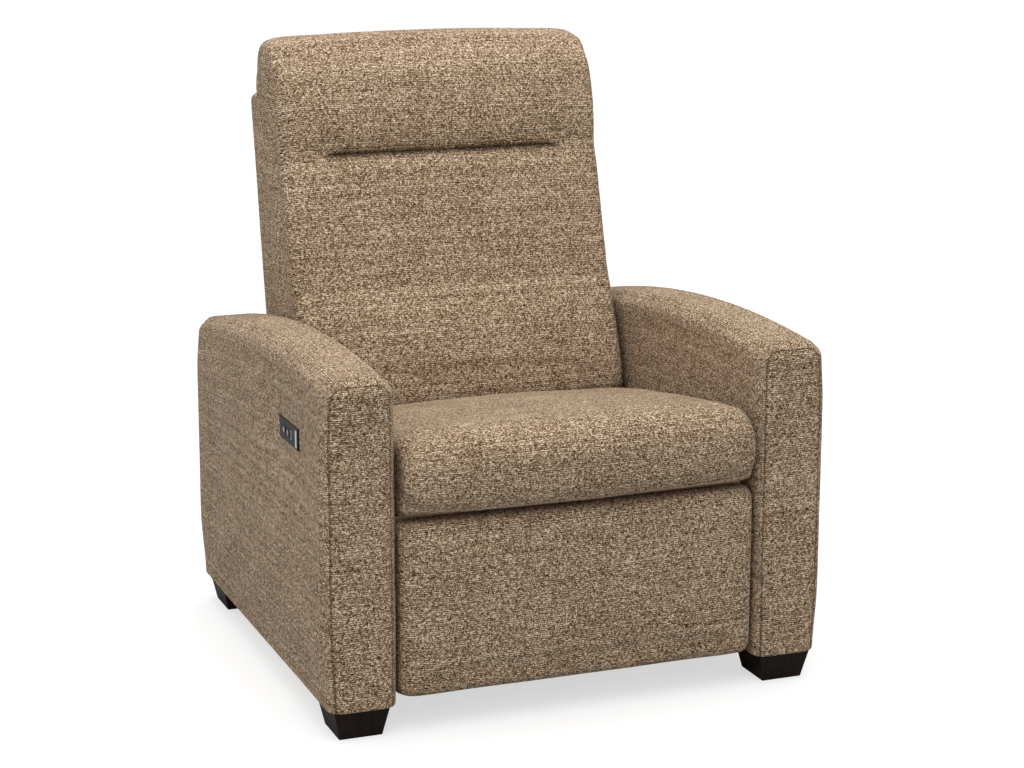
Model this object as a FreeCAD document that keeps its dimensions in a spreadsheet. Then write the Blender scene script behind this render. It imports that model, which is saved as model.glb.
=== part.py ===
import FreeCAD
import Part
import Sketcher
import math
import os
import re

# A wall hugger recliner for one person. Millimetres, +Z up, the chair faces -Y.
# Places along Y are written from the arms' front plane and shifted by origin_back,
# so that the origin lies on the floor under the middle of the chair.

SIZES = [
    # the chair as a whole
    ("origin_back", 435),
    ("arm_outer", 430),
    ("arm_inner", 318),
    ("arm_length", 815),
    ("arm_bottom", 49),
    ("arm_apex_height", 600),
    ("arm_apex_back", 250),
    ("arm_arch_radius", 2660),
    ("arm_front_round", 24),
    ("arm_rear_round", 28),
    ("arm_edge_round", 20),
    # arm frames
    ("cover_side_wall", 6),
    ("cover_front_wall", 20),
    ("cover_rear_wall", 8),
    ("cavity_top", 520),
    ("frame_fit", 0.3),
    ("arm_panel_thickness", 12),
    ("arm_post_depth", 45),
    ("arm_rail_height", 45),
    ("arm_top_rail_height", 36),
    # feet
    ("foot_base_width", 72),
    ("foot_base_depth", 78),
    ("foot_flare", 10.5),
    ("foot_inward_shift", 3),
    ("foot_front_inset", 21),
    ("foot_rear_inset", 15),
    ("foot_bolt_radius", 4),
    ("foot_bolt_reach", 30),
    ("foot_bore_radius", 11),
    ("foot_bore_depth", 14),
    ("bolt_head_radius", 7),
    ("bolt_head_height", 5),
    ("bolt_clearance", 0.05),
    # base rails and rear panel
    ("front_rail_back", 80),
    ("front_rail_depth", 25),
    ("front_rail_base", 52),
    ("front_rail_height", 45),
    ("rear_rail_back", 765),
    ("rear_rail_depth", 30),
    ("rear_rail_height", 70),
    ("rear_panel_thickness", 14),
    ("rear_panel_top", 323),
    ("rear_panel_side_gap", 1),
    # tracks and rollers
    ("track_height_mid", 232),
    ("track_outer_height", 30),
    ("track_depth", 15),
    ("track_wall", 2.5),
    ("track_start", 52),
    ("track_length", 478),
    ("roller_radius", 12),
    ("roller_width", 8),
    ("roller_axle_radius", 4),
    ("roller_offset", 305),
    ("front_roller_back", 230),
    ("rear_roller_back", 500),
    ("running_gap", 0.05),
    # seat carriage
    ("side_plate_offset", 284),
    ("side_plate_thickness", 4),
    ("side_plate_base", 214),
    ("side_plate_top", 330),
    ("side_plate_start", 92),
    ("side_plate_end", 505),
    ("seat_flange_width", 16),
    ("rear_tube_back", 452),
    ("rear_tube_base", 290),
    ("rear_tube_side", 25),
    ("rear_tube_wall", 2),
    ("seat_rail_thickness", 22),
    ("seat_rail_width", 44),
    ("seat_rail_offset", 262),
    ("seat_frame_front", 52),
    ("seat_frame_length", 453),
    ("seat_cross_depth", 38),
    ("spring_wire_radius", 1.9),
    ("spring_pitch", 115),
    ("spring_bend_radius", 11),
    ("spring_half_span", 22),
    ("spring_lift", 2.2),
    ("clip_width", 14),
    ("clip_length", 16),
    ("clip_height", 4.4),
    # seat cushion
    ("cushion_half_width", 308),
    ("cushion_base", 356.7),
    ("cushion_rear", 508),
    ("cushion_rear_top", 412),
    ("cushion_front_top", 486),
    ("cushion_front_reach", 35),
    ("cushion_side_setback", 18),
    ("cushion_crown", 10),
    ("cushion_side_round", 17),
    ("cushion_toe_round", 22),
    ("cushion_heel_round", 14),
    ("cushion_toe_bulge", 1.5),
    ("cushion_lip_bulge", 5),
    ("cushion_top_bulge", 7),
    ("cushion_heel_bulge", 4),
    # footrest linkage, footrest closed
    ("swing_pivot_back", 110),
    ("swing_pivot_height", 312),
    ("rear_pivot_back", 170),
    ("rear_pivot_height", 274.8),
    ("swing_arm", 150.8),
    ("swing_tail", 45.4),
    ("swing_fold_angle", 67.7),
    ("cross_tail", 60),
    ("board_pivot_back", 62),
    ("board_pivot_height", 312),
    ("board_pivot_spacing", 50),
    ("link_half_width", 12),
    ("link_thickness", 4),
    ("link_gap", 0.5),
    ("link_stack_gap", 3),
    ("rivet_radius", 4),
    ("rivet_head_radius", 7),
    ("rivet_head_height", 1.2),
    ("spacer_radius", 8),
    # footrest
    ("footrest_half_width", 313),
    ("footrest_base", 55),
    ("footrest_top", 350),
    ("footrest_thickness", 45),
    ("footrest_round", 20),
    ("footrest_crown", 5),
    ("footrest_front_bulge", 0.4),
    ("board_thickness", 18),
    ("board_half_width", 292),
    ("board_edge_margin", 14),
    ("bracket_flange_width", 34),
    ("bracket_flange_thickness", 3),
    ("bracket_end_margin", 12),
    # power drive
    ("torque_tube_radius", 12.5),
    ("torque_tube_wall", 2),
    ("crank_radius", 50),
    ("crank_rest_angle", 35),
    ("crank_thickness", 10),
    ("crank_half_width", 11),
    ("crank_pin_radius", 5),
    ("crank_pin_length", 38),
    ("crank_hub_wall", 5),
    ("yoke_slot_play", 3.6),
    ("yoke_cheek_thickness", 6),
    ("yoke_cheek_gap", 20),
    ("yoke_half_length", 14),
    ("yoke_half_width", 18),
    ("yoke_top", 297),
    ("yoke_slot_base", 250),
    ("yoke_slot_height", 40),
    ("yoke_body_base", 212),
    ("yoke_body_height", 30),
    ("screw_height", 227),
    ("screw_radius", 7),
    ("screw_front", 54),
    ("gearbox_front", 420),
    ("gearbox_length", 62),
    ("gearbox_half_width", 34),
    ("gearbox_base", 188),
    ("gearbox_height", 74),
    ("gearbox_round", 5),
    ("motor_radius", 29),
    ("motor_length", 118),
    ("motor_round", 4),
    ("motor_bracket_length", 44),
    ("motor_bracket_half_width", 22),
    # back
    ("back_pivot_back", 532),
    ("back_pivot_height", 356),
    ("back_pivot_radius", 6),
    ("back_ear_radius", 20),
    ("back_lean", 10.4),
    ("shell_foot_back", 798.6),
    ("shell_foot_height", 330),
    ("shell_length", 618),
    ("shell_depth", 78),
    ("shell_half_width", 295),
    ("shell_wall", 9),
    ("shell_round", 14),
    ("back_rail_offset", 240),
    ("back_rail_width", 38.5),
    ("back_rail_depth", 42),
    ("back_rail_foot", 8),
    ("back_rail_top_gap", 9),
    ("back_cross_height", 42),
    ("webbing_thickness", 2.5),
    ("webbing_width", 50),
    ("webbing_first", 120),
    ("webbing_pitch", 110),
    ("back_bracket_gap", 0.5),
    ("back_bracket_thickness", 4),
    ("back_bracket_half_width", 17),
    ("bracket_rise", 190),
    ("lug_back", 612),
    ("lug_radius", 6),
    ("drive_pivot_back", 583.8),
    ("drive_pivot_height", 92),
    ("back_link_offset", 297),
    ("back_link_half_width", 12),
    ("drive_plate_width", 56),
    ("drive_plate_height", 60),
    ("drive_plate_thickness", 4),
    # back pad
    ("pad_half_width", 302),
    ("pad_gap", 0.4),
    ("pad_base", 398),
    ("pad_foot_back", 517),
    ("pad_toe_round", 8),
    ("pad_foot_round", 10),
    ("pad_waist_back", 607),
    ("pad_waist_height", 638),
    ("pad_tuck_back", 667),
    ("pad_tuck_height", 848),
    # the head bolster over the outer back's top, and drops below its own crest
    ("pad_neck_rise", 24),
    ("pad_head_back", 681),
    ("pad_head_drop", 99),
    ("pad_brow_back", 722),
    ("pad_brow_drop", 30),
    ("pad_top_back", 768),
    ("pad_nape_back", 838),
    ("pad_nape_drop", 51),
    ("pad_neck_length", 44),
    ("pad_side_round", 16),
    ("pad_crown", 8),
    ("pad_top_fall", 12),
    ("pad_brow_fall", 5),
    ("pad_foot_bulge", 2),
    ("pad_waist_bulge", 14),
    ("pad_chest_bulge", 8),
    ("pad_head_bulge", 6),
    ("pad_brow_bulge", 7),
    ("pad_crest_bulge", 9),
    ("pad_nape_bulge", 22),
    ("tuck_half_length", 222),
    ("tuck_depth", 20),
    ("tuck_half_height", 16),
    ("tuck_tool_margin", 26),
    ("tuck_tip_radius", 1.5),
    # switch
    ("switch_back", 210),
    ("switch_height", 463),
    ("switch_length", 106),
    ("switch_width", 36),
    ("switch_flange", 3),
    ("switch_body_length", 92),
    ("switch_body_width", 26),
    ("switch_body_depth", 22),
    ("switch_floor", 4),
    ("switch_edge_round", 1.2),
    ("switch_pocket_gap", 0.4),
    ("button_length", 17),
    ("button_width", 14),
    ("button_gap", 0.4),
    ("button_travel", 1.5),
    ("button_proud", 1),
    ("button_edge_round", 0.8),
    ("open_button_back", 212),
    ("close_button_back", 234),
    ("port_back", 196),
    ("port_length", 8),
    ("port_width", 15),
    ("port_wall", 1.5),
    ("bar_back", 165),
    ("bar_length", 5),
    ("bar_width", 28),
    ("bar_proud", 1.2),
    # power supply
    ("supply_offset", 120),
    ("supply_width", 130),
    ("supply_depth", 62),
    ("supply_height", 44),
    ("supply_round", 4),
    ("inlet_radius", 9),
    ("inlet_bore_radius", 3),
    ("inlet_flange_radius", 12),
    ("inlet_flange", 2),
    ("inlet_floor", 1),
    ("inlet_reach", 6),
    ("inlet_offset", 180),
    ("inlet_height", 150),
]

doc = FreeCAD.newDocument("recliner")
sheet = doc.addObject("Spreadsheet::Sheet", "sizes")
for row, (alias, number) in enumerate(SIZES, start=1):
    sheet.set("A%d" % row, alias)
    sheet.set("B%d" % row, str(number))
    sheet.setAlias("B%d" % row, alias)
doc.recompute()

ALIASES = set(alias for alias, number in SIZES)
NODES = []


def size(alias):
    """The number in the sheet's cell of that name."""
    return float(sheet.get(alias))


def bound(text):
    """An expression in which each alias is read from the sheet."""
    text = str(text)

    def refer(found):
        word = found.group()
        return "sizes." + word if word in ALIASES else word

    return re.sub(r"[a-z_]+[a-z]", refer, text)


def drive(thing, key, text):
    thing.setExpression(key, bound(text))


def place(thing, x, y, z, axis=None, angle=None):
    """Puts a thing at x, y, z, with y from the arms' front plane."""
    if axis:
        thing.Placement = FreeCAD.Placement(FreeCAD.Vector(), FreeCAD.Rotation(FreeCAD.Vector(axis), 1))
        drive(thing, ".Placement.Rotation.Angle", angle)
    drive(thing, ".Placement.Base.x", x)
    drive(thing, ".Placement.Base.y", "(%s) - origin_back" % y)
    drive(thing, ".Placement.Base.z", z)
    return thing


def node(thing, name):
    """Marks a finished piece: its label names its file."""
    thing.Label = name
    NODES.append(thing)
    return thing


def box(name, width, depth, height, x, y, z, axis=None, angle=None):
    thing = doc.addObject("Part::Box", name)
    drive(thing, "Length", width)
    drive(thing, "Width", depth)
    drive(thing, "Height", height)
    return place(thing, x, y, z, axis, angle)


SIDEWAYS = (0, 1, 0)
BACKWARDS = (-1, 0, 0)


def rod(name, radius, length, x, y, z, axis=None):
    """A cylinder that starts at x, y, z and runs up, sideways or backwards."""
    thing = doc.addObject("Part::Cylinder", name)
    drive(thing, "Radius", radius)
    drive(thing, "Height", length)
    if axis:
        return place(thing, x, y, z, axis, "90")
    return place(thing, x, y, z)


def fuse(name, things):
    thing = doc.addObject("Part::MultiFuse", name)
    thing.Shapes = things
    thing.Refine = False
    return thing


def cut(name, base, tools):
    thing = doc.addObject("Part::Cut", name)
    thing.Base = base
    thing.Tool = tools[0] if len(tools) == 1 else fuse(name + "_tools", tools)
    thing.Refine = False
    return thing


def group(name, things):
    """Several separate solids in one node."""
    thing = doc.addObject("Part::Compound", name)
    thing.Links = things
    return node(thing, name)


ALIGNED = 0.99


def runs_along(edge, axis):
    """True for a straight edge along x, y or z."""
    return abs(getattr(direction(edge), axis)) > ALIGNED


def round_edges(name, source, radius, chosen):
    """Rounds the edges of a finished solid for which chosen(edge) is true."""
    doc.recompute()
    thing = doc.addObject("Part::Fillet", name)
    thing.Base = source
    picked = [i for i, edge in enumerate(source.Shape.Edges, start=1) if chosen(edge)]
    thing.Edges = [(i, radius, radius) for i in picked]
    return thing


def side_name(side):
    return "right" if side > 0 else "left"


def out(side, inner, thickness):
    """The low X of a slab from inner to inner + thickness, on either side."""
    if side > 0:
        return inner
    return "-(%s) - (%s)" % (inner, thickness)


def direction(edge):
    first, last = edge.Vertexes[0].Point, edge.Vertexes[-1].Point
    run = last - first
    return run.normalize() if run.Length > 1e-6 else run


def sketch_on(body, plane, name):
    sketch = body.newObject("Sketcher::SketchObject", name)
    datum = [f for f in body.Origin.OriginFeatures if f.Role == plane][0]
    sketch.AttachmentSupport = [(datum, "")]
    sketch.MapMode = "FlatFace"
    return sketch


# Where a sketch's lines and arcs are drawn before its constraints size them.
FIRST_REACH = 100.0
FIRST_RADIUS = 10.0


def bar(name, length, half_width, thickness, holes, x, y, z, angle):
    """A flat bar with round ends from y, z along angle, with holes (reach, radius) on its line."""
    body = doc.addObject("PartDesign::Body", name)
    sketch = sketch_on(body, "YZ_Plane", name + "_outline")
    far, w = FIRST_REACH, FIRST_RADIUS
    V = FreeCAD.Vector
    up = V(0, 0, 1)
    start = Part.ArcOfCircle(Part.Circle(V(0, 0, 0), up, w), math.pi / 2, 3 * math.pi / 2)
    end = Part.ArcOfCircle(Part.Circle(V(far, 0, 0), up, w), -math.pi / 2, math.pi / 2)
    a = sketch.addGeometry(start, False)
    b = sketch.addGeometry(end, False)
    low = sketch.addGeometry(Part.LineSegment(V(0, -w, 0), V(far, -w, 0)), False)
    top = sketch.addGeometry(Part.LineSegment(V(far, w, 0), V(0, w, 0)), False)
    C = Sketcher.Constraint
    sketch.addConstraint(C("Coincident", a, 3, -1, 1))
    sketch.addConstraint(C("PointOnObject", b, 3, -1))
    sketch.addConstraint(C("Tangent", a, 2, low, 1))
    sketch.addConstraint(C("Tangent", low, 2, b, 1))
    sketch.addConstraint(C("Tangent", b, 2, top, 1))
    sketch.addConstraint(C("Tangent", top, 2, a, 1))
    sketch.addConstraint(C("Horizontal", low))
    reach = sketch.addConstraint(C("DistanceX", a, 3, b, 3, far))
    sketch.setExpression("Constraints[%d]" % reach, bound(length))
    width = sketch.addConstraint(C("Radius", a, w))
    sketch.setExpression("Constraints[%d]" % width, bound(half_width))
    for hole_reach, hole_radius in holes:
        ring = sketch.addGeometry(Part.Circle(V(1, 0, 0), up, 1.0), False)
        if hole_reach == "0":
            sketch.addConstraint(C("Coincident", ring, 3, a, 3))
        else:
            sketch.addConstraint(C("PointOnObject", ring, 3, -1))
            along = sketch.addConstraint(C("DistanceX", a, 3, ring, 3, 1.0))
            sketch.setExpression("Constraints[%d]" % along, bound(hole_reach))
        across = sketch.addConstraint(C("Radius", ring, 1.0))
        sketch.setExpression("Constraints[%d]" % across, bound(hole_radius))
    pad = body.newObject("PartDesign::Pad", name + "_pad")
    pad.Profile = sketch
    drive(pad, "Length", thickness)
    body.Tip = pad
    return place(body, x, y, z, (1, 0, 0), angle)


def plate(name, corners, thickness, x):
    """A flat plate across X whose corners are (y, z) expressions."""
    body = doc.addObject("PartDesign::Body", name)
    sketch = sketch_on(body, "YZ_Plane", name + "_outline")
    V = FreeCAD.Vector
    C = Sketcher.Constraint
    count = len(corners)
    turns = [2 * math.pi * i / count for i in range(count)]
    spots = [V(FIRST_REACH * math.cos(turn), FIRST_REACH * math.sin(turn), 0) for turn in turns]
    for i in range(count):
        sketch.addGeometry(Part.LineSegment(spots[i], spots[(i + 1) % count]), False)
    for i in range(count):
        sketch.addConstraint(C("Coincident", i, 2, (i + 1) % count, 1))
    for i, (y, z) in enumerate(corners):
        along = sketch.addConstraint(C("DistanceX", -1, 1, i, 1, spots[i].x))
        sketch.setExpression("Constraints[%d]" % along, bound("(%s) - origin_back" % y))
        above = sketch.addConstraint(C("DistanceY", -1, 1, i, 1, spots[i].y))
        sketch.setExpression("Constraints[%d]" % above, bound(z))
    pad = body.newObject("PartDesign::Pad", name + "_pad")
    pad.Profile = sketch
    drive(pad, "Length", thickness)
    body.Tip = pad
    drive(body, ".Placement.Base.x", x)
    return body


def switch_pocket(name):
    """The room that the left arm's cover and timbers leave round the switch body."""
    return box(
        name + "_switch_pocket", "switch_flange + switch_body_depth + switch_pocket_gap",
        "switch_body_length + 2 * switch_pocket_gap", "switch_body_width + 2 * switch_pocket_gap",
        "-arm_outer - switch_flange",
        "switch_back - switch_body_length / 2 - switch_pocket_gap",
        "switch_height - switch_body_width / 2 - switch_pocket_gap",
    )


# Places that several pieces share.
RIGHT, LEFT = 1, -1
SIDES = (LEFT, RIGHT)
CAVITY_INNER = "arm_inner + cover_side_wall"
CAVITY_WIDTH = "arm_outer - arm_inner - 2 * cover_side_wall"
FRAME_INNER = "arm_inner + cover_side_wall + frame_fit"
POST_INNER = "arm_inner + cover_side_wall + frame_fit + arm_panel_thickness"
POST_WIDTH = "arm_outer - arm_inner - 2 * cover_side_wall - 2 * frame_fit - arm_panel_thickness"
FRAME_FRONT = "cover_front_wall + frame_fit"
FRAME_LENGTH = "arm_length - cover_front_wall - cover_rear_wall - 2 * frame_fit"
FRAME_TOP = "cavity_top - frame_fit"
PLATE_INNER = "side_plate_offset"
PLATE_OUTER = "side_plate_offset + side_plate_thickness"

# The link stack on each side, from the side plate inwards.
LOWER_LAYER = "side_plate_offset - link_stack_gap - link_thickness"
SWING_LAYER = "side_plate_offset - link_stack_gap - 2 * link_thickness - link_gap"
CROSS_LAYER = "side_plate_offset - link_stack_gap - 3 * link_thickness - 2 * link_gap"
REAR_LAYER = "side_plate_offset - link_stack_gap - 4 * link_thickness - 3 * link_gap"

# Pivots of the closed footrest linkage, as y and z.
MID_BACK = "(swing_pivot_back + swing_arm * cos(swing_fold_angle))"
MID_HEIGHT = "(swing_pivot_height - swing_arm * sin(swing_fold_angle))"
TAIL_BACK = "(swing_pivot_back + (swing_arm + swing_tail) * cos(swing_fold_angle))"
TAIL_HEIGHT = "(swing_pivot_height - (swing_arm + swing_tail) * sin(swing_fold_angle))"
CROSS_RUN = "(board_pivot_back - %s)" % MID_BACK
CROSS_RISE = "(board_pivot_height - %s)" % MID_HEIGHT
CROSS_ANGLE = "atan2(%s; %s)" % (CROSS_RISE, CROSS_RUN)
CROSS_REACH = "sqrt(%s^2 + %s^2)" % (CROSS_RUN, CROSS_RISE)
HEEL_BACK = "(%s - cross_tail * cos(%s))" % (MID_BACK, CROSS_ANGLE)
HEEL_HEIGHT = "(%s - cross_tail * sin(%s))" % (MID_HEIGHT, CROSS_ANGLE)
LOWER_PIVOT_HEIGHT = "(board_pivot_height - board_pivot_spacing)"


def span(y0, z0, y1, z1):
    """Length and angle of the line between two pivots, as expressions."""
    run = "((%s) - (%s))" % (y1, y0)
    rise = "((%s) - (%s))" % (z1, z0)
    return "sqrt(%s^2 + %s^2)" % (run, rise), "atan2(%s; %s)" % (rise, run)


FLAT = 1e-3


def arm_cover(side):
    """The upholstered cover of an arm: a slab with an arched top, hollow for the frame."""
    name = side_name(side) + "_arm_cover"
    body = doc.addObject("PartDesign::Body", name + "_slab")
    sketch = sketch_on(body, "YZ_Plane", name + "_outline")
    V = FreeCAD.Vector
    C = Sketcher.Constraint
    depth = size("arm_length")
    low = size("arm_bottom")
    apex = size("arm_apex_height")
    radius = size("arm_arch_radius")
    centre = V(size("arm_apex_back"), apex - radius, 0)
    front = math.acos(-centre.x / radius)
    rear = math.acos((depth - centre.x) / radius)
    arch = Part.ArcOfCircle(Part.Circle(centre, V(0, 0, 1), radius), rear, front)
    rear_top = arch.StartPoint
    front_top = arch.EndPoint
    sketch.addGeometry(Part.LineSegment(V(0, low, 0), V(depth, low, 0)), False)
    sketch.addGeometry(Part.LineSegment(V(depth, low, 0), rear_top), False)
    sketch.addGeometry(arch, False)
    sketch.addGeometry(Part.LineSegment(front_top, V(0, low, 0)), False)
    sketch.addConstraint(C("Coincident", 0, 2, 1, 1))
    sketch.addConstraint(C("Coincident", 1, 2, 2, 1))
    sketch.addConstraint(C("Coincident", 2, 2, 3, 1))
    sketch.addConstraint(C("Coincident", 3, 2, 0, 1))
    sketch.addConstraint(C("Horizontal", 0))
    sketch.addConstraint(C("Vertical", 1))
    sketch.addConstraint(C("Vertical", 3))
    sketch.addConstraint(C("PointOnObject", 0, 1, -2))
    sizes = [
        (C("DistanceY", -1, 1, 0, 1, low), "arm_bottom"),
        (C("DistanceX", 0, 1, 0, 2, depth), "arm_length"),
        (C("Radius", 2, radius), "arm_arch_radius"),
        (C("DistanceX", -1, 1, 2, 3, centre.x), "arm_apex_back"),
        (C("DistanceY", 2, 3, -1, 1, -centre.y), "arm_arch_radius - arm_apex_height"),
    ]
    for constraint, text in sizes:
        number = sketch.addConstraint(constraint)
        sketch.setExpression("Constraints[%d]" % number, bound(text))
    pad = body.newObject("PartDesign::Pad", name + "_pad")
    pad.Profile = sketch
    drive(pad, "Length", "arm_outer - arm_inner")
    body.Tip = pad
    place(body, out(side, "arm_inner", "arm_outer - arm_inner"), "0", "0")
    doc.recompute()
    middle_height = (low + apex) / 2

    def corner(edge, at_front):
        middle = edge.CenterOfMass
        is_front = middle.y < 0
        return runs_along(edge, "x") and middle.z > middle_height and is_front == at_front

    front_round = round_edges(name + "_front", body, size("arm_front_round"), lambda e: corner(e, True))
    rear_round = round_edges(name + "_rear", front_round, size("arm_rear_round"), lambda e: corner(e, False))

    def outline(edge):
        """An edge of either side face, apart from the flat bottom."""
        extent = edge.BoundBox
        return extent.XLength < FLAT and extent.ZMax > low + FLAT

    soft = round_edges(name + "_soft", rear_round, size("arm_edge_round"), outline)
    tools = [
        box(
            name + "_hollow", CAVITY_WIDTH, "arm_length - cover_front_wall - cover_rear_wall",
            "cavity_top", out(side, CAVITY_INNER, CAVITY_WIDTH), "cover_front_wall", "0",
        )
    ]
    if side == LEFT:
        tools.append(switch_pocket(name))
    return node(cut(name, soft, tools), name)


def foot_centre(front):
    if front:
        return "foot_front_inset + foot_base_depth / 2"
    return "arm_length - foot_rear_inset - foot_base_depth / 2"


def foot_x(side):
    """Under the middle of the arm's rails, a little towards the chair's middle."""
    return "%d * (%s + (%s) / 2 - foot_inward_shift)" % (side, POST_INNER, POST_WIDTH)


def arm_frame(side):
    """Inner panel, two posts and two rails of timber inside an arm cover."""
    name = side_name(side)
    panel = box(
        name + "_arm_panel", "arm_panel_thickness", FRAME_LENGTH, FRAME_TOP + " - arm_bottom",
        out(side, FRAME_INNER, "arm_panel_thickness"), FRAME_FRONT, "arm_bottom",
    )
    node(panel, name + "_arm_panel")
    low = out(side, POST_INNER, POST_WIDTH)
    post_base = "arm_bottom + arm_rail_height"
    post_height = "%s - arm_top_rail_height - %s" % (FRAME_TOP, "arm_bottom - arm_rail_height")
    rear_post = "%s + %s - arm_post_depth" % (FRAME_FRONT, FRAME_LENGTH)
    posts = [
        box(name + "_front_post", POST_WIDTH, "arm_post_depth", post_height, low, FRAME_FRONT, post_base),
        box(name + "_rear_post", POST_WIDTH, "arm_post_depth", post_height, low, rear_post, post_base),
    ]
    rail = box(
        name + "_bottom_rail", POST_WIDTH, FRAME_LENGTH, "arm_rail_height", low, FRAME_FRONT, "arm_bottom",
    )
    holes = [
        rod(
            name + "_rail_hole_%d" % i, "foot_bolt_radius + bolt_clearance", "arm_rail_height + 2",
            foot_x(side), foot_centre(front), "arm_bottom - 1",
        )
        for i, front in enumerate((True, False))
    ]
    top_rail = box(
        name + "_top_rail", POST_WIDTH, FRAME_LENGTH, "arm_top_rail_height", low, FRAME_FRONT,
        FRAME_TOP + " - arm_top_rail_height",
    )
    if side == LEFT:
        # Notched wherever the switch body reaches it.
        top_rail = cut(name + "_notched_rail", top_rail, [switch_pocket(name + "_rail")])
    rails = [cut(name + "_drilled_rail", rail, holes), top_rail]
    group(name + "_arm_frame", posts + rails)


def foot(side, front):
    """A tapered wooden block, bored for its bolt."""
    name = ("front_" if front else "rear_") + side_name(side) + "_foot"
    block = doc.addObject("Part::Wedge", name + "_block")
    drive(block, "Xmin", "-foot_base_width / 2")
    drive(block, "Xmax", "foot_base_width / 2")
    drive(block, "Zmin", "-foot_base_depth / 2")
    drive(block, "Zmax", "foot_base_depth / 2")
    drive(block, "X2min", "-foot_base_width / 2 - foot_flare")
    drive(block, "X2max", "foot_base_width / 2 + foot_flare")
    drive(block, "Z2min", "-foot_base_depth / 2 - foot_flare")
    drive(block, "Z2max", "foot_base_depth / 2 + foot_flare")
    drive(block, "Ymin", "0")
    drive(block, "Ymax", "arm_bottom")
    place(block, foot_x(side), foot_centre(front), "0", (1, 0, 0), "90")
    tools = [
        rod(
            name + "_hole", "foot_bolt_radius + bolt_clearance", "arm_bottom + 2",
            foot_x(side), foot_centre(front), "-1",
        ),
        rod(
            name + "_counterbore", "foot_bore_radius", "foot_bore_depth + 1",
            foot_x(side), foot_centre(front), "-1",
        ),
    ]
    return node(cut(name, block, tools), name)


def foot_bolts():
    bolts = []
    for side in SIDES:
        for front in (True, False):
            name = "foot_bolt_%d" % len(bolts)
            shank = rod(
                name + "_shank", "foot_bolt_radius", "arm_bottom - foot_bore_depth + foot_bolt_reach",
                foot_x(side), foot_centre(front), "foot_bore_depth",
            )
            head = rod(
                name + "_head", "bolt_head_radius", "bolt_head_height",
                foot_x(side), foot_centre(front), "foot_bore_depth - bolt_head_height",
            )
            bolts.append(fuse(name, [shank, head]))
    group("foot_bolts", bolts)


def base_rails():
    node(
        box(
            "front_cross_rail", "2 * arm_inner", "front_rail_depth", "front_rail_height",
            "-arm_inner", "front_rail_back", "front_rail_base",
        ),
        "front_cross_rail",
    )
    node(
        box(
            "rear_cross_rail", "2 * arm_inner", "rear_rail_depth", "rear_rail_height",
            "-arm_inner", "rear_rail_back", "front_rail_base",
        ),
        "rear_cross_rail",
    )
    slab = box(
        "rear_base_slab", "2 * arm_inner - 2 * rear_panel_side_gap", "rear_panel_thickness",
        "rear_panel_top - front_rail_base", "rear_panel_side_gap - arm_inner",
        "rear_rail_back + rear_rail_depth", "front_rail_base",
    )
    hole = rod(
        "inlet_window", "inlet_radius + bolt_clearance", "rear_panel_thickness + 2", "inlet_offset",
        "rear_rail_back + rear_rail_depth - 1", "inlet_height", BACKWARDS,
    )
    node(cut("rear_base_panel", slab, [hole]), "rear_base_panel")


def track(side):
    """A steel channel on the arm, open towards the seat."""
    name = side_name(side) + "_track"
    low = out(side, "arm_inner - track_depth", "track_depth")
    blank = box(
        name + "_blank", "track_depth", "track_length", "track_outer_height",
        low, "track_start", "track_height_mid - track_outer_height / 2",
    )
    channel = box(
        name + "_channel", "track_depth", "track_length + 2", "track_outer_height - 2 * track_wall",
        out(side, "arm_inner - track_depth - track_wall", "track_depth"), "track_start - 1",
        "track_height_mid - track_outer_height / 2 + track_wall",
    )
    return node(cut(name, blank, [channel]), name)


def rollers(which, back):
    """The two wheels on one axle line, with a bore that runs on the stub axles."""
    wheels = []
    for side in SIDES:
        name = "%s_roller_%s" % (which, side_name(side))
        low = out(side, "roller_offset", "roller_width")
        wheel = rod(name + "_wheel", "roller_radius", "roller_width", low, back, "track_height_mid", SIDEWAYS)
        bore = rod(
            name + "_bore", "roller_axle_radius + running_gap", "roller_width + 2", "(%s) - 1" % low,
            back, "track_height_mid", SIDEWAYS,
        )
        wheels.append(cut(name, wheel, [bore]))
    group(which + "_rollers", wheels)


def roller_axles():
    """Headed stub axles through the side plates, one for each roller."""
    axles = []
    reach = "roller_offset + roller_width - side_plate_offset"
    for side in SIDES:
        for back in ("front_roller_back", "rear_roller_back"):
            name = "roller_axle_%d" % len(axles)
            shank = rod(
                name + "_shank", "roller_axle_radius", reach, out(side, "side_plate_offset", reach),
                back, "track_height_mid", SIDEWAYS,
            )
            head = rod(
                name + "_head", "roller_axle_radius * 2", "link_stack_gap / 2",
                out(side, "side_plate_offset - link_stack_gap / 2", "link_stack_gap / 2"),
                back, "track_height_mid", SIDEWAYS,
            )
            shoulder_length = "roller_offset - side_plate_offset - side_plate_thickness - link_gap"
            shoulder = rod(
                name + "_shoulder", "roller_axle_radius + 2", shoulder_length,
                out(side, "side_plate_offset + side_plate_thickness", shoulder_length),
                back, "track_height_mid", SIDEWAYS,
            )
            axles.append(fuse(name, [shank, head, shoulder]))
    group("roller_axles", axles)


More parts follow.
